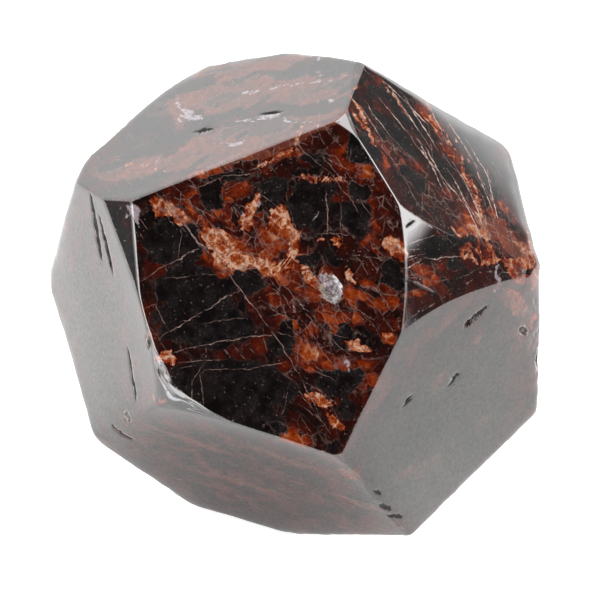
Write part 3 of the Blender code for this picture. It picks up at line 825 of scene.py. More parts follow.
@dataclass
class Stone:
    """The crystal's surface, as quad patches that share their rims.

    Attributes:
        solid: The sharp-edged stone.
        centre: The growth centre in the part's frame, in mm.
        box: The part's lowest and highest corner, in metres.
        cells: Quads along a patch's side.
        grading: How strongly a patch's points crowd towards the edges.
        front_sharpness: The smooth maximum's power where the stone is crisp.
        back_sharpness: The same where it is worn.
        gather_pull: How far points draw in along and across a scar, as a share.
        gather_fade: How far from a facet's edge they draw in freely, in mm.
        crisp_facing: From which cosine with the front the stone gets crisp, and is.
        swell_facing: From which cosine a swollen facet sinks back, and is flat.
        unevenness: Noise in the edges' sharpness: strength, wavelength and seed.
        raggedness: Noise in the scars' rims.
        waviness: Noise in the lumps' rims, in mm, for each direction.
        skin_depth: How far from its facet a scar ends, and is whole, in mm.
        faint_scar: Depth below which a scar is coloured less and its painted shade is fainter, in mm.
        weld_reach: How near two rims' points are when they are one, in metres.
        mingling: Over how many mm one facet's skin gives way to the next.
        rim_reach: How fast the worn line along the edges fades, in mm.
    """

    solid: Solid
    centre: tuple[float, float, float]
    box: np.ndarray
    cells: int = 29
    grading: float = 1.5
    front_sharpness: float = 330.0
    back_sharpness: float = 62.0
    gather_pull: tuple[float, float] = (0.25, 0.6)
    gather_fade: float = 1.5
    crisp_facing: tuple[float, float] = (0.20, 0.70)
    swell_facing: tuple[float, float] = (0.30, 0.85)
    unevenness: tuple = ((0.25, 7.0, 3), (0.10, 1.9, 4))
    raggedness: tuple = ((0.22, 0.9, 11), (0.10, 0.4, 12))
    waviness: tuple = tuple(((0.45, 2.6, 31 + axis), (0.16, 0.9, 34 + axis)) for axis in range(3))
    skin_depth: tuple[float, float] = (0.9, 0.5)
    faint_scar: float = 0.12
    weld_reach: float = 2e-7
    mingling: float = 1.2
    rim_reach: float = 0.33

    def __post_init__(self) -> None:
        """Make the scars and the lumps, those listed and those strewn."""
        self.scars = [Scar(side, *row, hollow) for (hollow, side), rows in SCARS.items() for row in rows]
        placed = {side for _, side in BLOTCHES}
        self.lumps = Strewing().lumps([side for side in Side if side not in placed])
        for (stuff, side), rows in BLOTCHES.items():
            self.lumps[stuff] += [Blotch(side, *row) for row in rows]

    def patches(self) -> tuple[np.ndarray, np.ndarray]:
        """Split every facet into four-sided patches, one for each of its corners.

        A patch runs from the facet's middle to the middles of the two edges that
        meet at its corner.

        Returns:
            The patches' corners (patch, 4, xyz) and the facet that each lies on.
        """
        quads, owners = [], []
        for number in range(len(self.solid.names)):
            rim = self.solid.outline(number)
            after = np.roll(rim, -1, axis=0)
            before = np.roll(rim, 1, axis=0)
            middle = np.broadcast_to(rim.mean(axis=0), rim.shape)
            quads.append(np.stack([middle, (before + rim) / 2, rim, (rim + after) / 2], axis=1))
            owners.append(np.full(len(rim), number))
        return np.concatenate(quads), np.concatenate(owners)

    def grid(self, quads: np.ndarray) -> np.ndarray:
        """Fill each patch with points, crowded towards its two outer sides.

        A point is the bilinear mix of the patch's corners at u, v, where u and v
        are 1 - (1 - t)^grading for equal steps of t.

        Args:
            quads: The patches' corners.

        Returns:
            The points (patch, u, v, xyz).
        """
        steps = np.linspace(0.0, 1.0, self.cells + 1)
        graded = 1.0 - (1.0 - steps) ** self.grading
        u, v = np.meshgrid(graded, graded, indexing="ij")
        weights = np.stack([(1 - u) * (1 - v), u * (1 - v), u * v, (1 - u) * v])
        return np.einsum("cij,pcx->pijx", weights, quads)

    def gather(self, points: np.ndarray, owners: np.ndarray) -> np.ndarray:
        """Draw each facet's points in towards its scars, where the surface needs them.

        Along and across a scar, an offset shrinks by pull * exp(-squared distance in
        scar sizes). The pull fades to nothing at the facet's edges, so rims still meet.

        Args:
            points: Places on the sharp-edged stone.
            owners: The facet that each lies on.

        Returns:
            The places, moved along their facets.
        """
        gathered = points.copy()
        heights = self.solid.gaps(points)
        heights[np.arange(len(points)), owners] = np.inf
        free = ramp(heights.min(axis=1), 0.0, self.gather_fade)
        for scar in self.scars:
            mine = owners == self.solid.names.index(scar.side)
            local = scar.local(points[mine])[:, :2]
            reach = np.array([scar.length + 1.0, scar.width + 1.0])
            near = np.exp(-((local / reach) ** 2).sum(axis=1))
            shift = -local * self.gather_pull * (near * free[mine])[:, None]
            gathered[mine] += shift @ scar.frame()[:2]
        return gathered

    def reaches(self, points: np.ndarray) -> np.ndarray:
        """Work out how far out each facet is at each point, with its bulge.

        A domed facet's bulge is its dome's rise. A swollen one rises away from the front.

        Args:
            points: Places, one row each.

        Returns:
            A row for each place, with a distance for each facet.
        """
        reaches = np.tile(self.solid.distances, (len(points), 1))
        away = 1.0 - ramp(self.facing(points), *self.swell_facing)
        for side, swell in SWELLS.items():
            reaches[:, self.solid.names.index(side)] += swell * away
        for side, dome in DOMES.items():
            reaches[:, self.solid.names.index(side)] += dome.rise(FACETS[side].flat(points))
        return reaches

    @staticmethod
    def facing(points: np.ndarray) -> np.ndarray:
        """Cosine between each point's ray from the centre and the front facet's normal."""
        return points @ FACETS[Side.FRONT].normal() / np.linalg.norm(points, axis=1)

    def sharpness(self, points: np.ndarray) -> np.ndarray:
        """Work out how crisp the edges are: crisp round the front facet, worn at the back.

        The powers of front and back mix by their logarithms, noise makes them uneven,
        and a listed edge's share holds within about 1 mm of it.

        Args:
            points: Places, one row each.

        Returns:
            The smooth maximum's power at each place.
        """
        facing = ramp(self.facing(points), *self.crisp_facing)
        sharpness = self.back_sharpness * (self.front_sharpness / self.back_sharpness) ** facing
        sharpness *= np.exp(ripples(points, self.unevenness))
        for pair, share in EDGE_EASE.items():
            gap = np.stack([FACETS[side].gap(points) for side in pair])
            sharpness *= 1.0 - (1.0 - share) * np.exp(-(gap ** 2).sum(axis=0))
        return sharpness

    def ease(self, points: np.ndarray) -> np.ndarray:
        """Roll the facets over into each other at their edges.

        Along a ray from the centre, the reach is (sum of (cosine / distance)^k)^(-1/k):
        nearly the nearest plane's for a large sharpness k, and rounder for a small one.

        Args:
            points: Places on the sharp-edged stone.

        Returns:
            The places, moved along their rays.
        """
        rays = points / np.linalg.norm(points, axis=1, keepdims=True)
        sharpness = self.sharpness(points)
        nearness = np.maximum(rays @ self.solid.normals.T, 1e-9) / self.reaches(points)
        highest = nearness.max(axis=1)
        total = ((nearness / highest[:, None]) ** sharpness[:, None]).sum(axis=1)
        return rays / (highest * total ** (1.0 / sharpness))[:, None]

    def scarred(self, points: np.ndarray) -> tuple[np.ndarray, dict[str, np.ndarray]]:
        """Press the pits and gashes into the surface.

        A scar's depth is its greatest depth times (1 - r^2)^power, where r is the
        distance from its middle in scar sizes, made ragged by noise.

        Args:
            points: Places on the surface.

        Returns:
            The moved places, and how far inside a pit and a gash each is, from 0 to 1.
        """
        moved, inside = points.copy(), {hollow: np.zeros(len(points)) for hollow in Hollow}
        ragged = 1.0 + ripples(points, self.raggedness)
        for scar in self.scars:
            local = scar.local(points)
            size = np.array([scar.length / 2, scar.width / 2])
            radius = ((local[:, :2] / size) ** 2).sum(axis=1) * ragged
            aside = np.abs(local[:, 2] - SWELLS.get(scar.side, 0.0) * 0.5)
            near = np.clip(1.0 - radius, 0.0, 1.0) * ramp(aside, *self.skin_depth)
            depth = scar.depth * near ** scar.hollow.value
            moved -= depth[:, None] * FACETS[scar.side].normal()
            seen = ramp(near, 0.0, 0.35) * min(1.0, scar.depth / self.faint_scar)
            inside[scar.hollow] = np.maximum(inside[scar.hollow], seen)
        return moved, {hollow.name.lower(): shares for hollow, shares in inside.items()}

    def shares(self, points: np.ndarray) -> dict[str, np.ndarray]:
        """Work out how much of each kind of stuff there is, from lumps with wavy rims.

        Args:
            points: Places on the sharp-edged stone.

        Returns:
            A share from 0 to 1 at each place, by the stuff's name.
        """
        waves = np.stack([ripples(points, layers) for layers in self.waviness], axis=1)
        bent = points + waves
        return {stuff.value: np.maximum.reduce([lump.share(bent) for lump in lumps])
                for stuff, lumps in self.lumps.items()}

    def mean(self, points: np.ndarray, table: Mapping[Side, float]) -> np.ndarray:
        """Mix the near facets' values at each point; a facet counts by exp(-gap / mingling).

        Args:
            points: Places on the sharp-edged stone.
            table: A value for each facet, 0 where it has none.

        Returns:
            One number for each place.
        """
        weights = np.exp(-np.maximum(self.solid.gaps(points), 0.0) / self.mingling)
        values = np.array([table.get(side, 0.0) for side in self.solid.names])
        return weights @ values / weights.sum(axis=1)

    def rims(self, points: np.ndarray) -> np.ndarray:
        """How near an edge each point is: 1 on it, fading over the rim's reach."""
        gaps = np.sort(np.abs(self.solid.gaps(points)), axis=1)
        return np.exp(-gaps[:, 1] / self.rim_reach)

    def faces(self, patches: int) -> np.ndarray:
        """Number the corners of every quad, patch after patch.

        Args:
            patches: How many patches there are.

        Returns:
            One row of four points for each quad.
        """
        side = self.cells + 1
        corner = np.arange(self.cells * side).reshape(self.cells, side)[:, :-1].reshape(-1)
        cell = np.stack([corner, corner + side, corner + side + 1, corner + 1], axis=1)
        starts = np.arange(patches)[:, None, None] * side * side
        return (cell[None] + starts).reshape(-1, 4)

    def build(self) -> bpy.types.Object:
        """Make the crystal, one closed skin with its base flat on the floor.

        Returns:
            The dressed object, at the origin, with its place in its mesh and its marks
            as point attributes.
        """
        quads, owners = self.patches()
        grid = self.grid(quads)
        flat = self.gather(grid.reshape(-1, 3), np.repeat(owners, grid[0, ..., 0].size))
        points, inside = self.scarred(Nicks().knock(self.solid, self.ease(flat)))
        mesh = bpy.data.meshes.new("crystal")
        placed = np.clip((points + np.array(self.centre)) * MM, *self.box)
        mesh.from_pydata(placed, [], self.faces(len(quads)))
        marks = {**self.shares(flat), **inside, "rim": self.rims(flat),
                 "calm": self.mean(flat, CALM), "satin": self.mean(flat, SATIN)}
        for name, values in marks.items():
            layer = mesh.attributes.new(name, "FLOAT", "POINT")
            layer.data.foreach_set("value", values.astype(np.float32))
        self.weld(mesh)
        mesh.materials.append(GarnetFinish(self.centre).material())
        crystal = bpy.data.objects.new("polished_crystal", mesh)
        bpy.context.scene.collection.objects.link(crystal)
        return crystal

    def weld(self, mesh: bpy.types.Mesh) -> None:
        """Join the patches' shared rims and point every face outwards.

        Args:
            mesh: The crystal's mesh, changed in place.
        """
        shell = bmesh.new()
        shell.from_mesh(mesh)
        bmesh.ops.remove_doubles(shell, verts=shell.verts, dist=self.weld_reach)
        bmesh.ops.recalc_face_normals(shell, faces=shell.faces)
        shell.to_mesh(mesh)
        shell.free()
        mesh.shade_smooth()


class Wire:
    """A number, vector or colour that flows from one node socket, with Python's operators."""

    def __init__(self, bench: "Bench", socket: bpy.types.NodeSocket) -> None:
        """Hold the socket and the bench that adds nodes behind it."""
        self.bench = bench
        self.socket = socket

    def math(self, operation: str, *others: Value) -> "Wire":
        """One Math node with this number as its first input."""
        return self.bench.node("ShaderNodeMath", {"operation": operation}, dict(enumerate((self,) + others)))

    def __add__(self, other: Value) -> "Wire":
        """Sum."""
        return self.math("ADD", other)

    __radd__ = __add__

    def __mul__(self, other: Value) -> "Wire":
        """Product."""
        return self.math("MULTIPLY", other)

    __rmul__ = __mul__

    def __sub__(self, other: Value) -> "Wire":
        """Difference."""
        return self.math("SUBTRACT", other)

    def __rsub__(self, other: float) -> "Wire":
        """A plain number less this one."""
        return self.bench.node("ShaderNodeMath", {"operation": "SUBTRACT"}, {0: other, 1: self})

    def __abs__(self) -> "Wire":
        """Size without its sign."""
        return self.math("ABSOLUTE")

    def most(self, other: Value) -> "Wire":
        """The larger of the two."""
        return self.math("MAXIMUM", other)

    def least(self, other: Value) -> "Wire":
        """The smaller of the two."""
        return self.math("MINIMUM", other)

    def smooth(self, low: float, high: float, limits: Mapping[int, float]) -> "Wire":
        """A smooth step between two values of this number; limits give its two ends."""
        inputs = {0: self, 1: low, 2: high, **limits}
        return self.bench.node("ShaderNodeMapRange", {"interpolation_type": "SMOOTHSTEP"}, inputs)

    def rise(self, low: float, high: float) -> "Wire":
        """0 below low, 1 above high, and a smooth step between."""
        return self.smooth(low, high, {})

    def fall(self, low: float, high: float) -> "Wire":
        """1 below low, 0 above high, and a smooth step between."""
        return self.smooth(low, high, {3: 1.0, 4: 0.0})


@dataclass(frozen=True)
class Noise:
    """Cloudy noise: repeats in a mm, how many finer octaves it has, and how strong they are."""

    scale: float
    detail: float
    rough: float


@dataclass
class Bench:
    """Adds nodes to one material's or world's tree."""

    tree: bpy.types.NodeTree

    def make(self, kind: str, settings: Mapping, inputs: Mapping) -> bpy.types.Node:
        """Add one node.

        Args:
            kind: The node's type.
            settings: Its properties, set first; "stops" holds a colour ramp's stops.
            inputs: Values, wires or sockets for its inputs, by name or place.

        Returns:
            The node.
        """
        node = self.tree.nodes.new(kind)
        for name, value in settings.items():
            if name == "stops":
                self.set_stops(node.color_ramp, value)
            else:
                setattr(node, name, value)
        for place, value in inputs.items():
            source = value.socket if isinstance(value, Wire) else value
            if isinstance(source, bpy.types.NodeSocket):
                self.tree.links.new(source, node.inputs[place])
            else:
                node.inputs[place].default_value = value
        return node

    def node(self, kind: str, settings: Mapping, inputs: Mapping, output: Union[int, str] = 0) -> Wire:
        """Add one node and return one of its outputs as a wire."""
        return Wire(self, self.make(kind, settings, inputs).outputs[output])

    @staticmethod
    def set_stops(color_ramp: bpy.types.ColorRamp, stops: Sequence) -> None:
        """Give a colour ramp its places and colours.

        Args:
            color_ramp: The ramp, changed in place.
            stops: Pairs of a place from 0 to 1 and a colour.
        """
        while len(color_ramp.elements) < len(stops):
            color_ramp.elements.new(1.0)
        for element, (place, colour) in zip(color_ramp.elements, stops):
            element.position = place
            element.color = (*colour, 1.0)

    def vector(self, operation: str, first: Vector, second: Vector, output: str = "Vector") -> Wire:
        """One Vector Math node on two vectors."""
        return self.node("ShaderNodeVectorMath", {"operation": operation}, {0: first, 1: second}, output)

    def dot(self, first: Vector, second: Sequence[float]) -> Wire:
        """Dot product of two vectors."""
        return self.vector("DOT_PRODUCT", first, tuple(second), "Value")

    def scaled(self, vector: Vector, size: Value) -> Wire:
        """A vector times a number."""
        return self.node("ShaderNodeVectorMath", {"operation": "SCALE"}, {0: vector, "Scale": size})

    def along(self, vector: Vector, share: float, start: Wire) -> Wire:
        """A vector times a plain number, added to a start."""
        return self.node("ShaderNodeVectorMath", {"operation": "MULTIPLY_ADD"},
                         {0: vector, 1: (share,) * 3, 2: start})

    def noise(self, place: Wire, noise: Noise, output: str = "Fac") -> Wire:
        """A number, or with the output Color a vector, near 0.5 on average."""
        inputs = {"Vector": place, "Scale": noise.scale, "Detail": noise.detail, "Roughness": noise.rough}
        return self.node("ShaderNodeTexNoise", {}, inputs, output)

    def borders(self, place: Wire, scale: float) -> Wire:
        """Distance to the nearest border between Voronoi cells."""
        settings = {"feature": "DISTANCE_TO_EDGE"}
        return self.node("ShaderNodeTexVoronoi", settings, {"Vector": place, "Scale": scale})

    def flakes(self, place: Wire, scale: float) -> tuple[Wire, Wire]:
        """Voronoi cells' distance from their middles, and a random colour for each."""
        node = self.make("ShaderNodeTexVoronoi", {}, {"Vector": place, "Scale": scale})
        return Wire(self, node.outputs["Distance"]), Wire(self, node.outputs["Color"])

    def part(self, vector: Wire, place: int) -> Wire:
        """One part of a vector or a colour: 0, 1 or 2."""
        return self.node("ShaderNodeSeparateXYZ", {}, {0: vector}, place)

    def attribute(self, name: str) -> Wire:
        """A number kept on the mesh's points."""
        return self.node("ShaderNodeAttribute", {"attribute_name": name}, {}, "Fac")

    def pushed(self, place: Wire, colour: Wire, reach: float) -> Wire:
        """Places moved by a colour, by up to about half of the reach either way."""
        return self.along(self.vector("SUBTRACT", colour, (0.5, 0.5, 0.5)), reach, place)

    def stretched(self, place: Wire, axis: Sequence[float], share: float) -> Wire:
        """Squeeze places along an axis, which draws a pattern out along it by 1 / share.

        Args:
            place: The places.
            axis: The direction, of any length.
            share: What is left of the places' spread along it.

        Returns:
            The places, moved.
        """
        length = math.sqrt(sum(part * part for part in axis))
        unit = tuple(part / length for part in axis)
        return self.along(self.scaled(unit, self.dot(place, unit)), share - 1.0, place)

    def blend(self, share: Value, under: Vector, over: Vector) -> Wire:
        """Mix two colours by a share from 0 to 1."""
        return self.node("ShaderNodeMix", {"data_type": "RGBA"}, {0: share, 6: under, 7: over}, 2)


@dataclass(frozen=True)
class Family:
    """Parallel cracks: their normal, how many there are in a mm, a seed, and how much they show."""

    normal: tuple[float, float, float]
    scale: float
    seed: float
    strength: float


@dataclass(frozen=True)
class GarnetFinish:
    """Polished garnet: black glass, red and amber fracture zones, pale cracks, high gloss.

    A tone runs from 0, black glass, over wine, red and orange to 1, tan; the lumps
    and a mosaic of flakes set it, and threads, cracks, crumbs and dust lie over it.

    Attributes:
        centre: The growth centre in the part's frame, in mm.
        tones: The colours along the tone.
        chalk_stops: The colours of chalky crumbs.
        hairline: Colour of thin cracks; bright_line and crumb, of bolder ones and their middles.
        haze: Colour of specks in the glass.
        blush: Colour of the blushes on calm facets; slate, of the sheen between them.
        rosy: Colour laid over the rose patches.
        painted_hollow_shade: Painted shade in gashes and streaks, and the dark of the pits' lining; scuffed,
            of rubbed edges and pale pits.
        *_tone: The usual tone of each stuff, and of the plain ground between them.
        warp: Broad noise that pushes places about, and crumble and grit, finer ones.
        cloud: Noise that haze, lace and streaks come and go by.
        band: Noise in the tone, drawn out along the banding, and blotchy, in the blushes.
        broken: Noise that breaks the parallel cracks into lengths.
        *_scale: How often a mosaic of cells repeats in a mm.
        *_push: How far noise pushes places about, in mm: broadly, and finely.
        *_share: How strongly a colour is laid over what is under it.
        flake_squeeze: How many times thinner the flakes are across the steep cracks.
        band_squeeze: The same for the bands along the banding: below 1 they are longer.
        streak_squeeze: The same for the streaks.
        sheet_squeeze: The same for the parallel cracks' lengths, across the cracks.
        soft_rim: Half of the fade at the rim of a lump of wine, amber or rose.
        hard_rim: The same for the other lumps.
        seam_strengths: How pale each kind of crack is, next to a bold one.
        steep: The parallel cracks that stand up steeply, and shallow, the other family.
        banding: Direction in which streaks and blushes are drawn out.
        polish: Roughness of the bare gloss.
        index: Refractive index.
        relief: Depth of the finest unevenness, in metres.
        relief_strength: How much of it shows.
    """

    centre: tuple[float, float, float]
    tones: tuple = (
        (0.00, (0.0014, 0.0011, 0.0012)),
        (0.20, (0.0042, 0.0015, 0.0013)),
        (0.36, (0.0125, 0.0016, 0.0010)),
        (0.50, (0.0330, 0.0034, 0.0011)),
        (0.64, (0.0720, 0.0075, 0.0010)),
        (0.78, (0.1300, 0.0190, 0.0022)),
        (0.90, (0.2000, 0.0700, 0.0280)),
        (1.00, (0.3000, 0.1850, 0.1300)),
    )
    chalk_stops: tuple = (
        (0.36, (0.0150, 0.0090, 0.0100)),
        (0.46, (0.0600, 0.0380, 0.0420)),
        (0.54, (0.1500, 0.1200, 0.1320)),
        (0.66, (0.2900, 0.2650, 0.2800)),
    )
    hairline: tuple = (0.090, 0.056, 0.049, 1.0)
    bright_line: tuple = (0.165, 0.112, 0.096, 1.0)
    haze: tuple = (0.0340, 0.0270, 0.0270, 1.0)
    blush: tuple = (0.0500, 0.0130, 0.0095, 1.0)
    rosy: tuple = (0.0700, 0.0340, 0.0260, 1.0)
    slate: tuple = (0.0150, 0.0195, 0.0165, 1.0)
    # Painted shade for gashes, streaks and the dark of the pits' lining.
    painted_hollow_shade: tuple = (0.0060, 0.0042, 0.0042, 1.0)
    scuffed: tuple = (0.200, 0.140, 0.115, 1.0)
    crumb: tuple = (0.280, 0.200, 0.160, 1.0)
    glass_tone: float = 0.04
    calm_tone: float = 0.20
    plain_tone: float = 0.28
    wine_tone: float = 0.37
    amber_tone: float = 0.49
    rose_tone: float = 0.53
    rind_tone: float = 0.67
    rosy_share: float = 0.34
    haze_share: float = 0.60
    crumb_share: float = 0.80
    chalk_share: float = 0.90
    dust_share: float = 0.80
    blush_share: float = 2.40
    slate_share: float = 0.50
    scuff_share: float = 0.40
    painted_hollow_shade_share: float = 0.85
    warp: Noise = Noise(0.5, 4.0, 0.55)
    crumble: Noise = Noise(2.4, 3.0, 0.62)
    grit: Noise = Noise(5.5, 2.0, 0.7)
    cloud: Noise = Noise(0.8, 2.0, 0.5)
    band: Noise = Noise(0.38, 3.0, 0.55)
    blotchy: Noise = Noise(0.6, 4.0, 0.65)
    broken: Noise = Noise(0.13, 3.0, 0.6)
    flake_scale: float = 0.62
    chip_scale: float = 1.7
    lace_scale: float = 1.20
    dust_scale: float = 3.6
    streak_scale: float = 2.4
    wide_push: float = 2.6
    lace_push: tuple[float, float] = (1.0, 0.18)
    crack_push: tuple[float, float] = (0.85, 0.34)
    flake_squeeze: float = 1.6
    band_squeeze: float = 0.30
    streak_squeeze: float = 0.35
    sheet_squeeze: float = 4.0
    soft_rim: float = 0.16
    hard_rim: float = 0.08
    seam_strengths: tuple = ((Seam.BROAD, 1.60), (Seam.FINE, 0.60), (Seam.FAINT, 0.40))
    steep: Family = Family((0.802, 0.382, 0.458), 0.80, 3.7, 0.40)
    shallow: Family = Family((-0.275, -0.444, 0.853), 0.55, 9.1, 0.25)
    banding: tuple = (0.860, 0.300, 0.410)
    polish: float = 0.05
    index: float = 1.80
    relief: float = 0.00005
    relief_strength: float = 0.35

    def material(self) -> bpy.types.Material:
        """Build the stone's material.

        Returns:
            The material, with the layers from the glassy body to the worn edges.
        """
        material = bpy.data.materials.new("polished garnet")
        material.use_nodes = True
        material.node_tree.nodes.clear()
        layers = GarnetLayers(self, Bench(material.node_tree))
        layers.body()
        layers.lines()
        layers.crumbs()
        layers.skin()
        layers.wear()
        layers.shader()
        return material


class GarnetLayers:
    """Lays the garnet's patterns over each other in one material, a method for each layer."""

    def __init__(self, finish: GarnetFinish, bench: Bench) -> None:
        """Make the patterns and marks that the layers share.

        Args:
            finish: The colours, sizes and directions.
            bench: Where the nodes go.
        """
        self.finish = finish
        self.bench = bench
        metres = bench.node("ShaderNodeTexCoord", {}, {}, "Object")
        self.place = bench.vector("SUBTRACT", bench.scaled(metres, 1.0 / MM), finish.centre)
        self.warp = bench.noise(self.place, finish.warp, "Color")
        self.crumble = bench.noise(self.place, finish.crumble, "Color")
        self.fine, self.coarse = bench.part(self.crumble, 0), bench.part(self.crumble, 1)
        self.grit = bench.noise(self.place, finish.grit)
        self.cloudy = bench.noise(self.place, finish.cloud)
        bent = bench.pushed(self.place, self.warp, finish.wide_push)
        self.banded = bench.stretched(bent, finish.banding, finish.band_squeeze)
        self.jagged = self.frayed(finish.crack_push)
        ragged = self.frayed(finish.lace_push)
        angular = bench.stretched(ragged, finish.steep.normal, finish.flake_squeeze)
        self.pebble, self.flake = bench.flakes(angular, finish.flake_scale)
        self.chip = bench.flakes(angular, finish.chip_scale)[1]
        self.seam = bench.borders(angular, finish.flake_scale)
        self.lace = bench.borders(ragged, finish.lace_scale)
        self.lively = 1.0 - bench.attribute("calm")
        self.pit, self.gash = bench.attribute("pit"), bench.attribute("gash")
        self.fray = (self.fine - 0.5) * 0.40 + (bench.part(self.chip, 1) - 0.5) * 0.18
        self.marks = {stuff: self.mask(stuff) for stuff in Stuff}

    def frayed(self, push: tuple[float, float]) -> Wire:
        """Places pushed about broadly and finely."""
        return self.bench.pushed(self.bench.pushed(self.place, self.warp, push[0]), self.crumble, push[1])

    def mask(self, stuff: Stuff) -> Wire:
        """Find where one kind of stuff is; all but fire has a frayed rim.

        Args:
            stuff: Which kind.

        Returns:
            A share from 0 to 1.
        """
        share = self.bench.attribute(stuff.value)
        if stuff is Stuff.FIRE:
            return share
        soft = stuff in (Stuff.WINE, Stuff.AMBER, Stuff.ROSE)
        fade = self.finish.soft_rim if soft else self.finish.hard_rim
        return (share + self.fray).rise(0.5 - fade, 0.5 + fade) * share.rise(0.02, 0.10)

    def rim(self, stuff: Stuff) -> Wire:
        """The ragged line round one kind's lumps."""
        share = self.bench.attribute(stuff.value)
        return abs(share + self.fray - 0.5).fall(0.0, 0.08) * share.rise(0.05, 0.20)

    def tone(self) -> Wire:
        """Set the stone's tone; flakes and amber lumps get a painted glow, brighter towards their middles,
        inside pale rims.

        Returns:
            The tone, from black glass at 0 to tan at 1.
        """
        bench, finish, fire = self.bench, self.finish, self.marks[Stuff.FIRE]
        cloud = bench.noise(self.banded, finish.band) - 0.5
        veins = self.seam.fall(0.0, 0.30) * 0.30 + self.lace.fall(0.0, 0.34) * 0.20
        veins = veins * (self.coarse * 1.4 + 0.3)
        spread = (bench.part(self.flake, 0) - 0.5) * 0.46 + (bench.part(self.chip, 0) - 0.5) * 0.06
        # Painted glow: each flake is painted brighter towards its middle and darker at its rim, as light
        # inside translucent stone looks.
        glow = (0.42 - self.pebble) * 0.40
        fine, grit = self.fine - 0.5, self.grit - 0.5
        grain = fine * 0.30 + grit * 0.26
        tone = cloud * 1.0 + (spread + grain * 0.6 + glow) * (fire * 0.5 + 0.5)
        tone = tone + fire * 0.14 + finish.plain_tone + veins * fire * 0.35
        # Painted glow: the amber lumps are painted brighter towards their middles.
        painted_glow_heart = bench.attribute(Stuff.AMBER.value).rise(0.45, 1.0)
        amber = finish.amber_tone + painted_glow_heart * 0.13 + spread * 0.70 + grain * 0.4 + glow * 0.8 + veins * 0.40
        rind = finish.rind_tone + spread * 0.38 + fine * 0.40 + grit * 0.8 - glow * 0.3 + veins * 0.55
        layers = {
            Stuff.WINE: finish.wine_tone + spread * 0.30 + grain * 0.35 + glow * 0.3,
            Stuff.AMBER: amber,
            Stuff.ROSE: finish.rose_tone + spread * 0.30 + grain * 0.4 + cloud * 0.6 + veins * 0.20,
            Stuff.WINDOW: grain * 0.25 + cloud * 0.20 + finish.glass_tone,
            Stuff.RIND: rind,
        }
        for stuff, level in layers.items():
            tone = tone + (level - tone) * self.marks[stuff]
        return finish.calm_tone + (tone - finish.calm_tone) * (self.lively * 0.5 + 0.5)

    def lay(self, share: Value, over: Vector) -> None:
        """Lay a colour over what is there, by a share from 0 to 1."""
        self.colour = self.bench.blend(share, self.colour, over)

    def body(self) -> None:
        """Colour the stone by its tone, with rosy patches and specks of haze in the glass."""
        finish = self.finish
        self.colour = self.bench.node("ShaderNodeValToRGB", {"stops": finish.tones}, {0: self.tone()})
        self.lay(self.marks[Stuff.ROSE] * finish.rosy_share, finish.rosy)
        specks = self.grit.rise(0.54, 0.72) * self.cloudy.rise(0.35, 0.60)
        specks = specks + self.cloudy.rise(0.30, 0.75) * 0.2
        self.lay(specks * self.marks[Stuff.WINDOW] * finish.haze_share, finish.haze)

    def web(self) -> Wire:
        """Draw pale filaments: between flakes, in a finer lace through the rind, and round the lumps.

        Returns:
            A share from 0 to 1.
        """
        fire, rind, rose = self.marks[Stuff.FIRE], self.marks[Stuff.RIND], self.marks[Stuff.ROSE]
        seams = self.seam.fall(0.0, 0.06) * self.cloudy.rise(0.44, 0.56)
        laces = self.lace.fall(0.0, 0.08) * self.coarse.rise(0.46, 0.62)
        share = (fire * 0.50 + rose * 0.26 + 0.14) * (1.0 - self.marks[Stuff.WINDOW])
        fringe = laces * (rind * 0.50).most(share * 0.30)
        borders = self.rim(Stuff.WINDOW).most(self.rim(Stuff.AMBER)) * (fire * 0.25 + rose * 0.5 + 0.08)
        return (seams * share.most(rind * 0.6)).most(fringe).most(borders)

    def lines(self) -> None:
        """Lay the web and the cracks over the body; a crack is paler towards its middle."""
        bench, finish = self.bench, self.finish
        rind, window = self.marks[Stuff.RIND], self.marks[Stuff.WINDOW]
        pale = bench.blend(self.coarse.rise(0.40, 0.62) * (rind * 0.7 + 0.2), finish.hairline, finish.crumb)
        self.lay(self.web() * (self.lively * 0.7 + 0.3), pale)
        wear = (self.coarse * 0.5 + bench.part(self.warp, 2) * 0.5).rise(0.40, 0.58) * 0.8 + 0.2
        self.crack = self.cracks(self.lively * (1.0 - window * 0.85)) * wear
        self.lay(self.crack.rise(0.0, 0.45), finish.hairline)
        self.lay(self.crack.rise(0.55, 0.95), finish.bright_line)
        self.lay(self.crack.rise(0.90, 1.40) * finish.crumb_share, finish.crumb)

    def cracks(self, lively: Wire) -> Wire:
        """Draw all the pale cracks: those listed, and two families of parallel ones.

        Args:
            lively: Where the families show.

        Returns:
            How strong a crack is, 0 where there is none.
        """
        sheets = {side: self.sheet(side) for side in {side for _, side in CRACKS}}
        placed = self.needles(sheets, Seam.BOLD)
        for seam, strength in self.finish.seam_strengths:
            placed = placed.most(self.needles(sheets, seam) * strength)
        return placed.most(self.parallel(self.finish.steep).most(self.parallel(self.finish.shallow)) * lively)

    def sheet(self, side: Side) -> tuple[Wire, Wire]:
        """Lay a facet's plane out flat.

        Args:
            side: The facet.

        Returns:
            Places on it as (across, up, 1), and 1 where the stone's skin is near it.
        """
        across, up, out = (self.bench.dot(self.jagged, axis) for axis in FACETS[side].axes())
        depth = abs(out - FACETS[side].distance - SWELLS.get(side, 0.0) * 0.5)
        return self.bench.node("ShaderNodeCombineXYZ", {}, {0: across, 1: up, 2: 1.0}), depth.fall(0.4, 1.1)

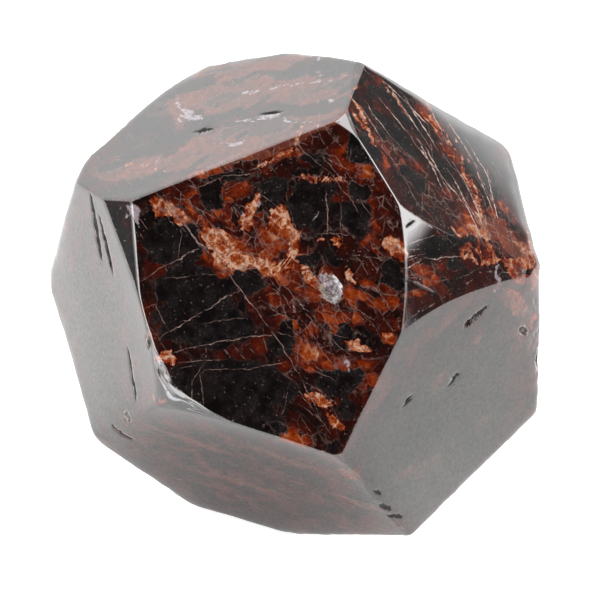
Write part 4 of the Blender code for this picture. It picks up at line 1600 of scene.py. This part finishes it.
    def needles(self, sheets: Mapping[Side, tuple[Wire, Wire]], seam: Seam) -> Wire:
        """Draw the placed cracks of one kind as thin lenses.

        The squares of a place's two coordinates in a lens sum to 1 on the lens's rim.

        Args:
            sheets: The facets' planes.
            seam: Which kind.

        Returns:
            1 along the middle of a lens and 0 outside.
        """
        found: Value = 0.0
        for side, rows in ((side, rows) for (kind, side), rows in CRACKS.items() if kind is seam):
            flat, near = sheets[side]
            nearest: Value = 1.0
            for row in rows:
                along, aside = (self.bench.dot(flat, line) for line in Crack(*row).frame(seam.value))
                nearest = aside.math("MULTIPLY_ADD", aside, along * along).least(nearest)
            found = (nearest.fall(0.0, 1.0) * near).most(found)
        return found

    def parallel(self, family: Family) -> Wire:
        """Draw parallel cracks at uneven distances, broken into lengths.

        Args:
            family: Their direction, number, seed and strength.

        Returns:
            The family's strength on a crack and 0 off it.
        """
        bench, normal, seed = self.bench, family.normal, family.seed
        near = bench.node("ShaderNodeTexVoronoi", {"voronoi_dimensions": "1D", "feature": "DISTANCE_TO_EDGE"},
                          {"W": bench.dot(self.jagged, normal) + seed, "Scale": family.scale})
        sheet = bench.stretched(self.place, normal, self.finish.sheet_squeeze)
        sheet = bench.vector("ADD", sheet, (seed, 0.0, 0.0))
        broken = bench.noise(sheet, self.finish.broken).rise(0.47, 0.60)
        return near.fall(0.010, 0.055) * broken * family.strength

    def crumbs(self) -> None:
        """Lay chalk, dust and the pits' crumbly lining over the lines; the lining is partly painted shade,
        darker towards a pit's deep middle.
        """
        bench, finish, pit, chalk = self.bench, self.finish, self.pit, self.marks[Stuff.CHALK]
        flecks = (self.fine * 0.6 + self.grit * 0.4 - 0.5) * (pit * 1.2 + 0.35) - pit * 0.04 + 0.56
        chalky = bench.node("ShaderNodeValToRGB", {"stops": finish.chalk_stops}, {0: flecks})
        self.lay(chalk * finish.chalk_share, chalky)
        distance, lots = bench.flakes(self.place, finish.dust_scale)
        dust = distance.fall(0.08, 0.24) * bench.part(lots, 2).rise(0.70, 0.98)
        self.lay(dust * finish.dust_share, finish.bright_line)
        # Painted shade: the lining darkens towards a pit's deep middle, over its random grain.
        lining_and_shade = (self.fine * 0.5 + self.grit * 0.5 + pit.fall(0.2, 0.7) * 0.16).rise(0.46, 0.66)
        lining_and_shade = bench.blend(lining_and_shade, finish.painted_hollow_shade, finish.scuffed)
        self.lay(pit.rise(0.05, 0.4) * (1.0 - chalk), lining_and_shade)

    def skin(self) -> None:
        """Veil the calm facets with drawn-out blushes and a slate sheen."""
        finish, lively = self.finish, self.lively
        flush = self.bench.noise(self.banded, finish.blotchy).rise(0.45, 0.64)
        self.flush = flush * lively.fall(0.30, 0.60) * lively * finish.blush_share
        self.lay(self.flush, finish.blush)
        self.lay(lively.fall(0.05, 0.25) * finish.slate_share, finish.slate)

    def wear(self) -> None:
        """Rub the edges pale, and paint shade into the gashes and the streaks of fine pits."""
        bench, finish = self.bench, self.finish
        drawn_out = bench.stretched(self.place, finish.banding, finish.streak_squeeze)
        distance, lots = bench.flakes(drawn_out, finish.streak_scale)
        streaks = distance.fall(0.04, 0.18) * bench.part(lots, 0).rise(0.60, 0.75)
        self.streaks = streaks * self.cloudy.rise(0.38, 0.54)
        self.scuff = (bench.attribute("rim") * (self.coarse * 0.6 + self.cloudy * 0.4)).rise(0.46, 0.60)
        # Painted shade: the gashes and the streaks of fine pits are coloured near black, as shade in a hollow
        # looks.
        self.painted_slot_shade = self.gash.rise(0.15, 0.6).most(self.streaks)
        self.lay(self.scuff * finish.scuff_share, finish.scuffed)
        self.lay(self.painted_slot_shade * finish.painted_hollow_shade_share, finish.painted_hollow_shade)

    def shader(self) -> None:
        """Join a gloss and a matt shader, matt where the stone is worn and where shade is painted in gashes
        and streaks, and make them the surface.
        """
        bench, finish, pit, calm = self.bench, self.finish, self.pit, 1.0 - self.lively
        # The gashes and streaks are dulled so that gloss does not light up their painted shade.
        dull = (self.painted_slot_shade * 0.8).most(pit.rise(0.3, 0.8) * 0.5).most(self.flush * 0.15)
        mottle = (self.fine + self.grit - 1.0) * calm * 0.5
        dull = dull.most(bench.attribute("satin") + mottle)
        rough = pit * 0.40 + self.crack * 0.20 + self.marks[Stuff.RIND] * 0.08
        rough = rough + self.scuff * 0.2 + finish.polish
        height = pit * self.fine * 1.2 - self.streaks + (self.fine + self.grit) * calm * 0.5
        bump = bench.node("ShaderNodeBump", {}, {
            "Strength": finish.relief_strength,
            "Distance": finish.relief,
            "Height": height,
        })
        gloss = bench.make("ShaderNodeBsdfPrincipled", {}, {
            "Base Color": self.colour,
            "Roughness": rough,
            "IOR": finish.index,
            "Normal": bump,
        })
        matt = bench.make("ShaderNodeBsdfDiffuse", {}, {"Color": self.colour})
        both = bench.make("ShaderNodeMixShader", {}, {0: dull, 1: gloss.outputs[0], 2: matt.outputs[0]})
        bench.make("ShaderNodeOutputMaterial", {}, {"Surface": both.outputs[0]})


@dataclass(frozen=True)
class PaperFinish:
    """Matt white paper, faintly lit from behind, with painted shade in its glow under the stone and on the
    right, and a bright card.

    Places and distances are in metres.

    Attributes:
        white: The paper's colour.
        backlight: The glow of the bare paper.
        painted_shade_glow: The glow where shade is painted on the paper.
        card_light: The glow of the card.
        strength: The glow's strength.
        roughness: The paper's roughness.
        sheen: The paper's specular level.
        painted_shade_at: Middle of the painted shade under the stone.
        painted_shade_reach: Where that painted shade starts and stops to fade.
        painted_shade_right_reach: Where the painted shade on the right starts and is full.
        card_at: Middle of the card.
        card_reach: Where the card starts and stops to fade.
    """

    white: tuple = (0.88, 0.88, 0.875, 1.0)
    backlight: tuple = (1.0, 1.0, 1.0, 1.0)
    painted_shade_glow: tuple = (0.15, 0.15, 0.15, 1.0)
    card_light: tuple = (9.0, 9.0, 9.6, 1.0)
    strength: float = 0.75
    roughness: float = 0.9
    sheen: float = 0.1
    painted_shade_at: tuple[float, float, float] = (-0.001, 0.004, 0.0)
    painted_shade_reach: tuple[float, float] = (0.008, 0.014)
    painted_shade_right_reach: tuple[float, float] = (0.020, 0.055)
    card_at: tuple[float, float, float] = (-0.218, -0.131, 0.0)
    card_reach: tuple[float, float] = (0.070, 0.110)

    def material(self) -> bpy.types.Material:
        """Build the paper's material.

        Returns:
            The material.
        """
        paper = bpy.data.materials.new("white paper")
        paper.use_nodes = True
        bench = Bench(paper.node_tree)
        shader = paper.node_tree.nodes["Principled BSDF"]
        place = bench.node("ShaderNodeTexCoord", {}, {}, "Object")
        # Painted shade: the paper's glow is lowered under the stone and on the right side.
        under = bench.vector("DISTANCE", place, self.painted_shade_at, "Value").fall(*self.painted_shade_reach)
        painted_shade = under.most(bench.part(place, 0).rise(*self.painted_shade_right_reach))
        card = bench.vector("DISTANCE", place, self.card_at, "Value").fall(*self.card_reach)
        light = bench.blend(card, bench.blend(painted_shade, self.backlight, self.painted_shade_glow), self.card_light)
        bench.tree.links.new(light.socket, shader.inputs["Emission Color"])
        shader.inputs["Emission Strength"].default_value = self.strength
        shader.inputs["Base Color"].default_value = self.white
        shader.inputs["Roughness"].default_value = self.roughness
        shader.inputs["Specular IOR Level"].default_value = self.sheen
        return paper


@dataclass(frozen=True)
class Glow:
    """A soft-edged round patch of the studio's light, in degrees, as seen from the stone."""

    azimuth: float
    elevation: float
    reach: float
    softness: float
    radiance: float

    def laid(self, bench: Bench, toward: Wire, light: Value) -> Wire:
        """Lay the patch over the light that is there.

        Args:
            bench: Where the nodes go.
            toward: The direction looked in.
            light: The radiance without the patch.

        Returns:
            The radiance with it.
        """
        outer = math.cos(math.radians(self.reach + self.softness))
        inner = math.cos(math.radians(self.reach - self.softness))
        share = bench.dot(toward, heading(self.azimuth, self.elevation)).rise(outer, inner)
        return share * self.radiance + (1.0 - share) * light


@dataclass
class Studio:
    """A light tent: pale floor, even white walls, strong lamps and dark openings.

    Attributes:
        target: The place that the camera is aimed at, in mm.
        wall_radiance: Brightness of the bare walls.
        floor_size: Width of the floor, in metres.
        camera_distance: From the target, in mm.
        camera_elevation: How steeply the camera looks down, in degrees.
        lens: Focal length, in mm.
        sensor: Width of the camera's sensor, in mm.
        nearest: Where the camera starts to see, in metres.
        shift: How far the view is moved in the frame.
        glows: The patches of light and dark; a later one lies over an earlier one.
    """

    target: tuple[float, float, float]
    wall_radiance: float = 2.5
    floor_size: float = 3.0
    camera_distance: float = 349.1
    camera_elevation: float = 40.0
    lens: float = 204.0
    sensor: float = 36.0
    nearest: float = 0.01
    shift: tuple[float, float] = (0.005, -0.010)
    glows: tuple[Glow, ...] = (
        Glow(-106.0, 38.0, 40.0, 9.0, 0.014),
        Glow(-175.0, 9.0, 12.5, 4.0, 0.35),
        Glow(35.0, 20.0, 21.0, 5.0, 0.24),
        Glow(-8.0, 14.0, 17.0, 2.5, 0.12),
        Glow(14.0, 12.0, 10.0, 3.0, 0.12),
        Glow(-9.0, 46.0, 20.2, 2.2, 8.5),
        Glow(8.0, 42.0, 13.0, 2.0, 8.5),
        Glow(0.0, 86.0, 12.0, 3.0, 7.0),
        Glow(-148.0, 25.0, 7.0, 2.0, 8.0),
        Glow(-137.0, 13.0, 7.0, 2.0, 8.0),
        Glow(-152.0, 4.0, 10.0, 2.5, 5.5),
        Glow(52.0, 2.0, 8.0, 5.0, 3.0),
    )

    def floor(self) -> bpy.types.Object:
        """Lay a wide sheet of matt white paper under the stone.

        Returns:
            The floor's object, one square face.
        """
        half = self.floor_size / 2
        corners = [(-half, -half, 0.0), (half, -half, 0.0), (half, half, 0.0), (-half, half, 0.0)]
        mesh = bpy.data.meshes.new("paper_floor")
        mesh.from_pydata(corners, [], [(0, 1, 2, 3)])
        mesh.materials.append(PaperFinish().material())
        floor = bpy.data.objects.new("studio_floor", mesh)
        bpy.context.scene.collection.objects.link(floor)
        return floor

    def tent(self) -> bpy.types.World:
        """Hang the white walls, with the lamps and the dark places laid over them, as a world.

        Returns:
            The world.
        """
        world = bpy.data.worlds.new("light_tent")
        world.use_nodes = True
        bench = Bench(world.node_tree)
        bench.tree.nodes.clear()
        toward = bench.node("ShaderNodeTexCoord", {}, {}, "Generated")
        light: Value = self.wall_radiance
        for glow in self.glows:
            light = glow.laid(bench, toward, light)
        white = (1.0, 1.0, 1.0, 1.0)
        background = bench.make("ShaderNodeBackground", {}, {"Color": white, "Strength": light})
        bench.make("ShaderNodeOutputWorld", {}, {"Surface": background.outputs[0]})
        return world

    def camera(self) -> bpy.types.Object:
        """Set up a long lens that looks down on the stone's front facet.

        Returns:
            The camera's object.
        """
        data = bpy.data.cameras.new("studio_camera")
        data.lens = self.lens
        data.sensor_width = self.sensor
        data.shift_x, data.shift_y = self.shift
        data.clip_start = self.nearest
        camera = bpy.data.objects.new("studio_camera", data)
        tilt = math.radians(self.camera_elevation)
        away = np.array([0.0, -math.cos(tilt), math.sin(tilt)]) * self.camera_distance
        camera.location = (np.array(self.target) + away) * MM
        camera.rotation_euler = (math.pi / 2 - tilt, 0.0, 0.0)
        bpy.context.scene.collection.objects.link(camera)
        return camera


def main() -> None:
    """Build the stone and its studio around the fixed frame."""
    logging.basicConfig(level=logging.INFO, format="%(message)s")
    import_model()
    before = [list(corner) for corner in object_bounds()]
    crystal = Stone(Solid(FACETS), CENTRE, np.array(before)).build()
    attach(crystal, BODY)
    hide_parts(NODE)
    LOG.info("%s: %d facets, %d faces", crystal.name, len(FACETS), len(crystal.data.polygons))

    studio, scene = Studio(CENTRE), bpy.context.scene
    floor = studio.floor()
    LOG.info("%s: %.1f m square", floor.name, studio.floor_size)
    scene.world = studio.tent()
    LOG.info("%s: %d lamps and dark places", scene.world.name, len(studio.glows))
    scene.camera = studio.camera()
    LOG.info("%s: %.0f mm lens", scene.camera.name, studio.lens)
    scene.view_settings.view_transform = "Standard"


if __name__ == "__main__":
    main()
